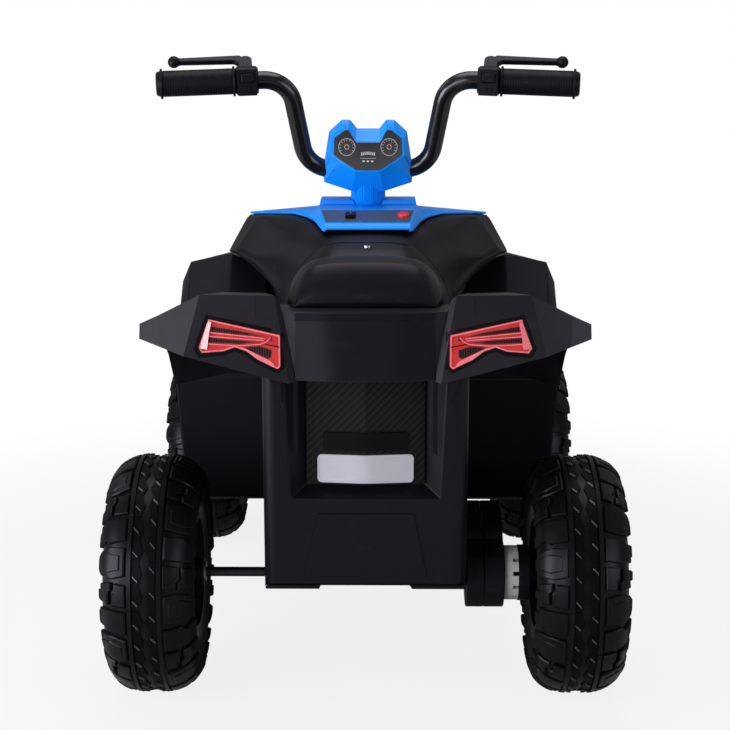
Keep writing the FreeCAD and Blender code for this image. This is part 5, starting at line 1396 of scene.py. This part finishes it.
class QUAD_OT_stage(Operator):
    """Pale floor, soft lamps, white surround and the camera behind the machine"""
    bl_idname = "quad.stage"
    bl_label = "Stage"

    # Soft lamps: name, place, place they point at, size in metres and power in watts.
    lamps = (
        ("key softbox", (-1.5, -2.75, 1.0), (0, -0.3, 0.42), 1.4, 34),
        ("right softbox", (1.9, -1.7, 0.9), (0.1, -0.3, 0.4), 1.2, 15),
        ("left softbox", (-2.0, -1.2, 0.5), (-0.2, -0.4, 0.35), 1.2, 44),
        ("overhead softbox", (0, 0.1, 2.5), (0, 0, 0.4), 1.7, 28),
        ("upper left softbox", (-1.9, 0.8, 2.0), (-0.2, 0.1, 0.5), 1.2, 4),
        ("upper right softbox", (1.9, 0.8, 2.0), (0.2, 0.1, 0.5), 1.2, 3),
    )
    surround_light = 0.22
    # The floor: half its side, tone of its paper, its whiteness close by, and where it turns all white.
    floor_reach = 14.0
    paper_tone = (0.55, 0.55, 0.55, 1)
    near_white = 0.84
    white_from, white_to = 0.55, 1.35
    # The camera behind the machine: its lens and sensor in millimetres, place, tilt in degrees and turn.
    sensor = 36
    lens = 81.5
    camera_at = (0.014, -2.328, 0.822)
    camera_tilt = 78.5
    camera_turn = 0.0077

    def execute(self, context):
        scene = context.scene
        scene.view_settings.view_transform = "Standard"
        self.floor(scene)
        self.surround(scene)
        for lamp in self.lamps:
            self.lamp(scene, *lamp)
        camera = bpy.data.objects.new("camera", bpy.data.cameras.new("camera"))
        scene.collection.objects.link(camera)
        camera.data.sensor_width = self.sensor
        camera.data.lens = self.lens
        camera.location = self.camera_at
        camera.rotation_euler = (math.radians(self.camera_tilt), 0, self.camera_turn)
        scene.camera = camera
        return {"FINISHED"}

    def floor(self, scene):
        reach = self.floor_reach
        corners = [(-reach, -reach, 0), (reach, -reach, 0), (reach, reach, 0), (-reach, reach, 0)]
        mesh = mesh_from("floor", corners, [[0, 1, 2, 3]])
        finish = Finish("floor")
        away = finish.node("ShaderNodeVectorMath", {"operation": "LENGTH"}, {0: finish.where}, output="Value")
        far = finish.ramp(away, self.white_from, self.white_to)
        whiteness = (self.near_white + (1 - self.near_white) * far) * self.seen(finish)
        paper = finish.node("ShaderNodeBsdfDiffuse", None, {"Color": self.paper_tone})
        white = finish.node("ShaderNodeEmission", None, {"Color": WHITE, "Strength": 1.0})
        blend = finish.node("ShaderNodeMixShader", None, {0: whiteness, 1: paper, 2: white})
        mesh.materials.append(finish.shown(blend))
        floor = bpy.data.objects.new("floor", mesh)
        scene.collection.objects.link(floor)

    def seen(self, finish):
        """One for the camera's own rays and those through clear things, and nothing for the others."""
        rays = [finish.node("ShaderNodeLightPath", None, None, output=name)
                for name in ("Is Camera Ray", "Is Transmission Ray")]
        return (rays[0] + rays[1]) > 0.5

    def surround(self, scene):
        world = bpy.data.worlds.new("surround")
        world.use_nodes = True
        scene.world = world
        tree = world.node_tree
        tree.nodes.clear()
        path = tree.nodes.new("ShaderNodeLightPath")
        lit = tree.nodes.new("ShaderNodeBackground")
        lit.inputs["Color"].default_value = WHITE
        lit.inputs["Strength"].default_value = self.surround_light
        shown = tree.nodes.new("ShaderNodeBackground")
        shown.inputs["Color"].default_value = WHITE
        mix = tree.nodes.new("ShaderNodeMixShader")
        output = tree.nodes.new("ShaderNodeOutputWorld")
        tree.links.new(path.outputs["Is Camera Ray"], mix.inputs[0])
        tree.links.new(lit.outputs[0], mix.inputs[1])
        tree.links.new(shown.outputs[0], mix.inputs[2])
        tree.links.new(mix.outputs[0], output.inputs["Surface"])

    def lamp(self, scene, name, spot, target, size, power):
        data = bpy.data.lights.new(name, "AREA")
        data.size = size
        data.energy = power
        made = bpy.data.objects.new(name, data)
        made.location = spot
        made.rotation_euler = (Vector(target) - Vector(spot)).to_track_quat("-Z", "Y").to_euler()
        scene.collection.objects.link(made)


class QUAD_PT_panel(Panel):
    """Lists the steps that dress the quad bike"""
    bl_idname = "QUAD_PT_panel"
    bl_label = "Quad bike"
    bl_space_type = "VIEW_3D"
    bl_region_type = "UI"
    bl_category = "Quad bike"

    def draw(self, context):
        for group in (context.scene.quad_colours, context.scene.quad_sizes):
            for name in group.__annotations__:
                self.layout.prop(group, name)
        for step in STEPS:
            self.layout.operator(step.bl_idname)


STEPS = (QUAD_OT_stage, QUAD_OT_rear_body, QUAD_OT_fenders, QUAD_OT_seat_and_tank, QUAD_OT_wheels,
         QUAD_OT_drive, QUAD_OT_steering, QUAD_OT_handlebar_ends, QUAD_OT_cockpit)
CLASSES = (QuadColours, QuadSizes, *STEPS, QUAD_PT_panel)


def register():
    for item in CLASSES:
        bpy.utils.register_class(item)
    bpy.types.Scene.quad_colours = PointerProperty(type=QuadColours)
    bpy.types.Scene.quad_sizes = PointerProperty(type=QuadSizes)


def unregister():
    del bpy.types.Scene.quad_sizes
    del bpy.types.Scene.quad_colours
    for item in reversed(CLASSES):
        bpy.utils.unregister_class(item)


def main():
    register()
    for step in STEPS:
        group, name = step.bl_idname.split(".")
        getattr(getattr(bpy.ops, group), name)()


if __name__ == "__main__":
    main()
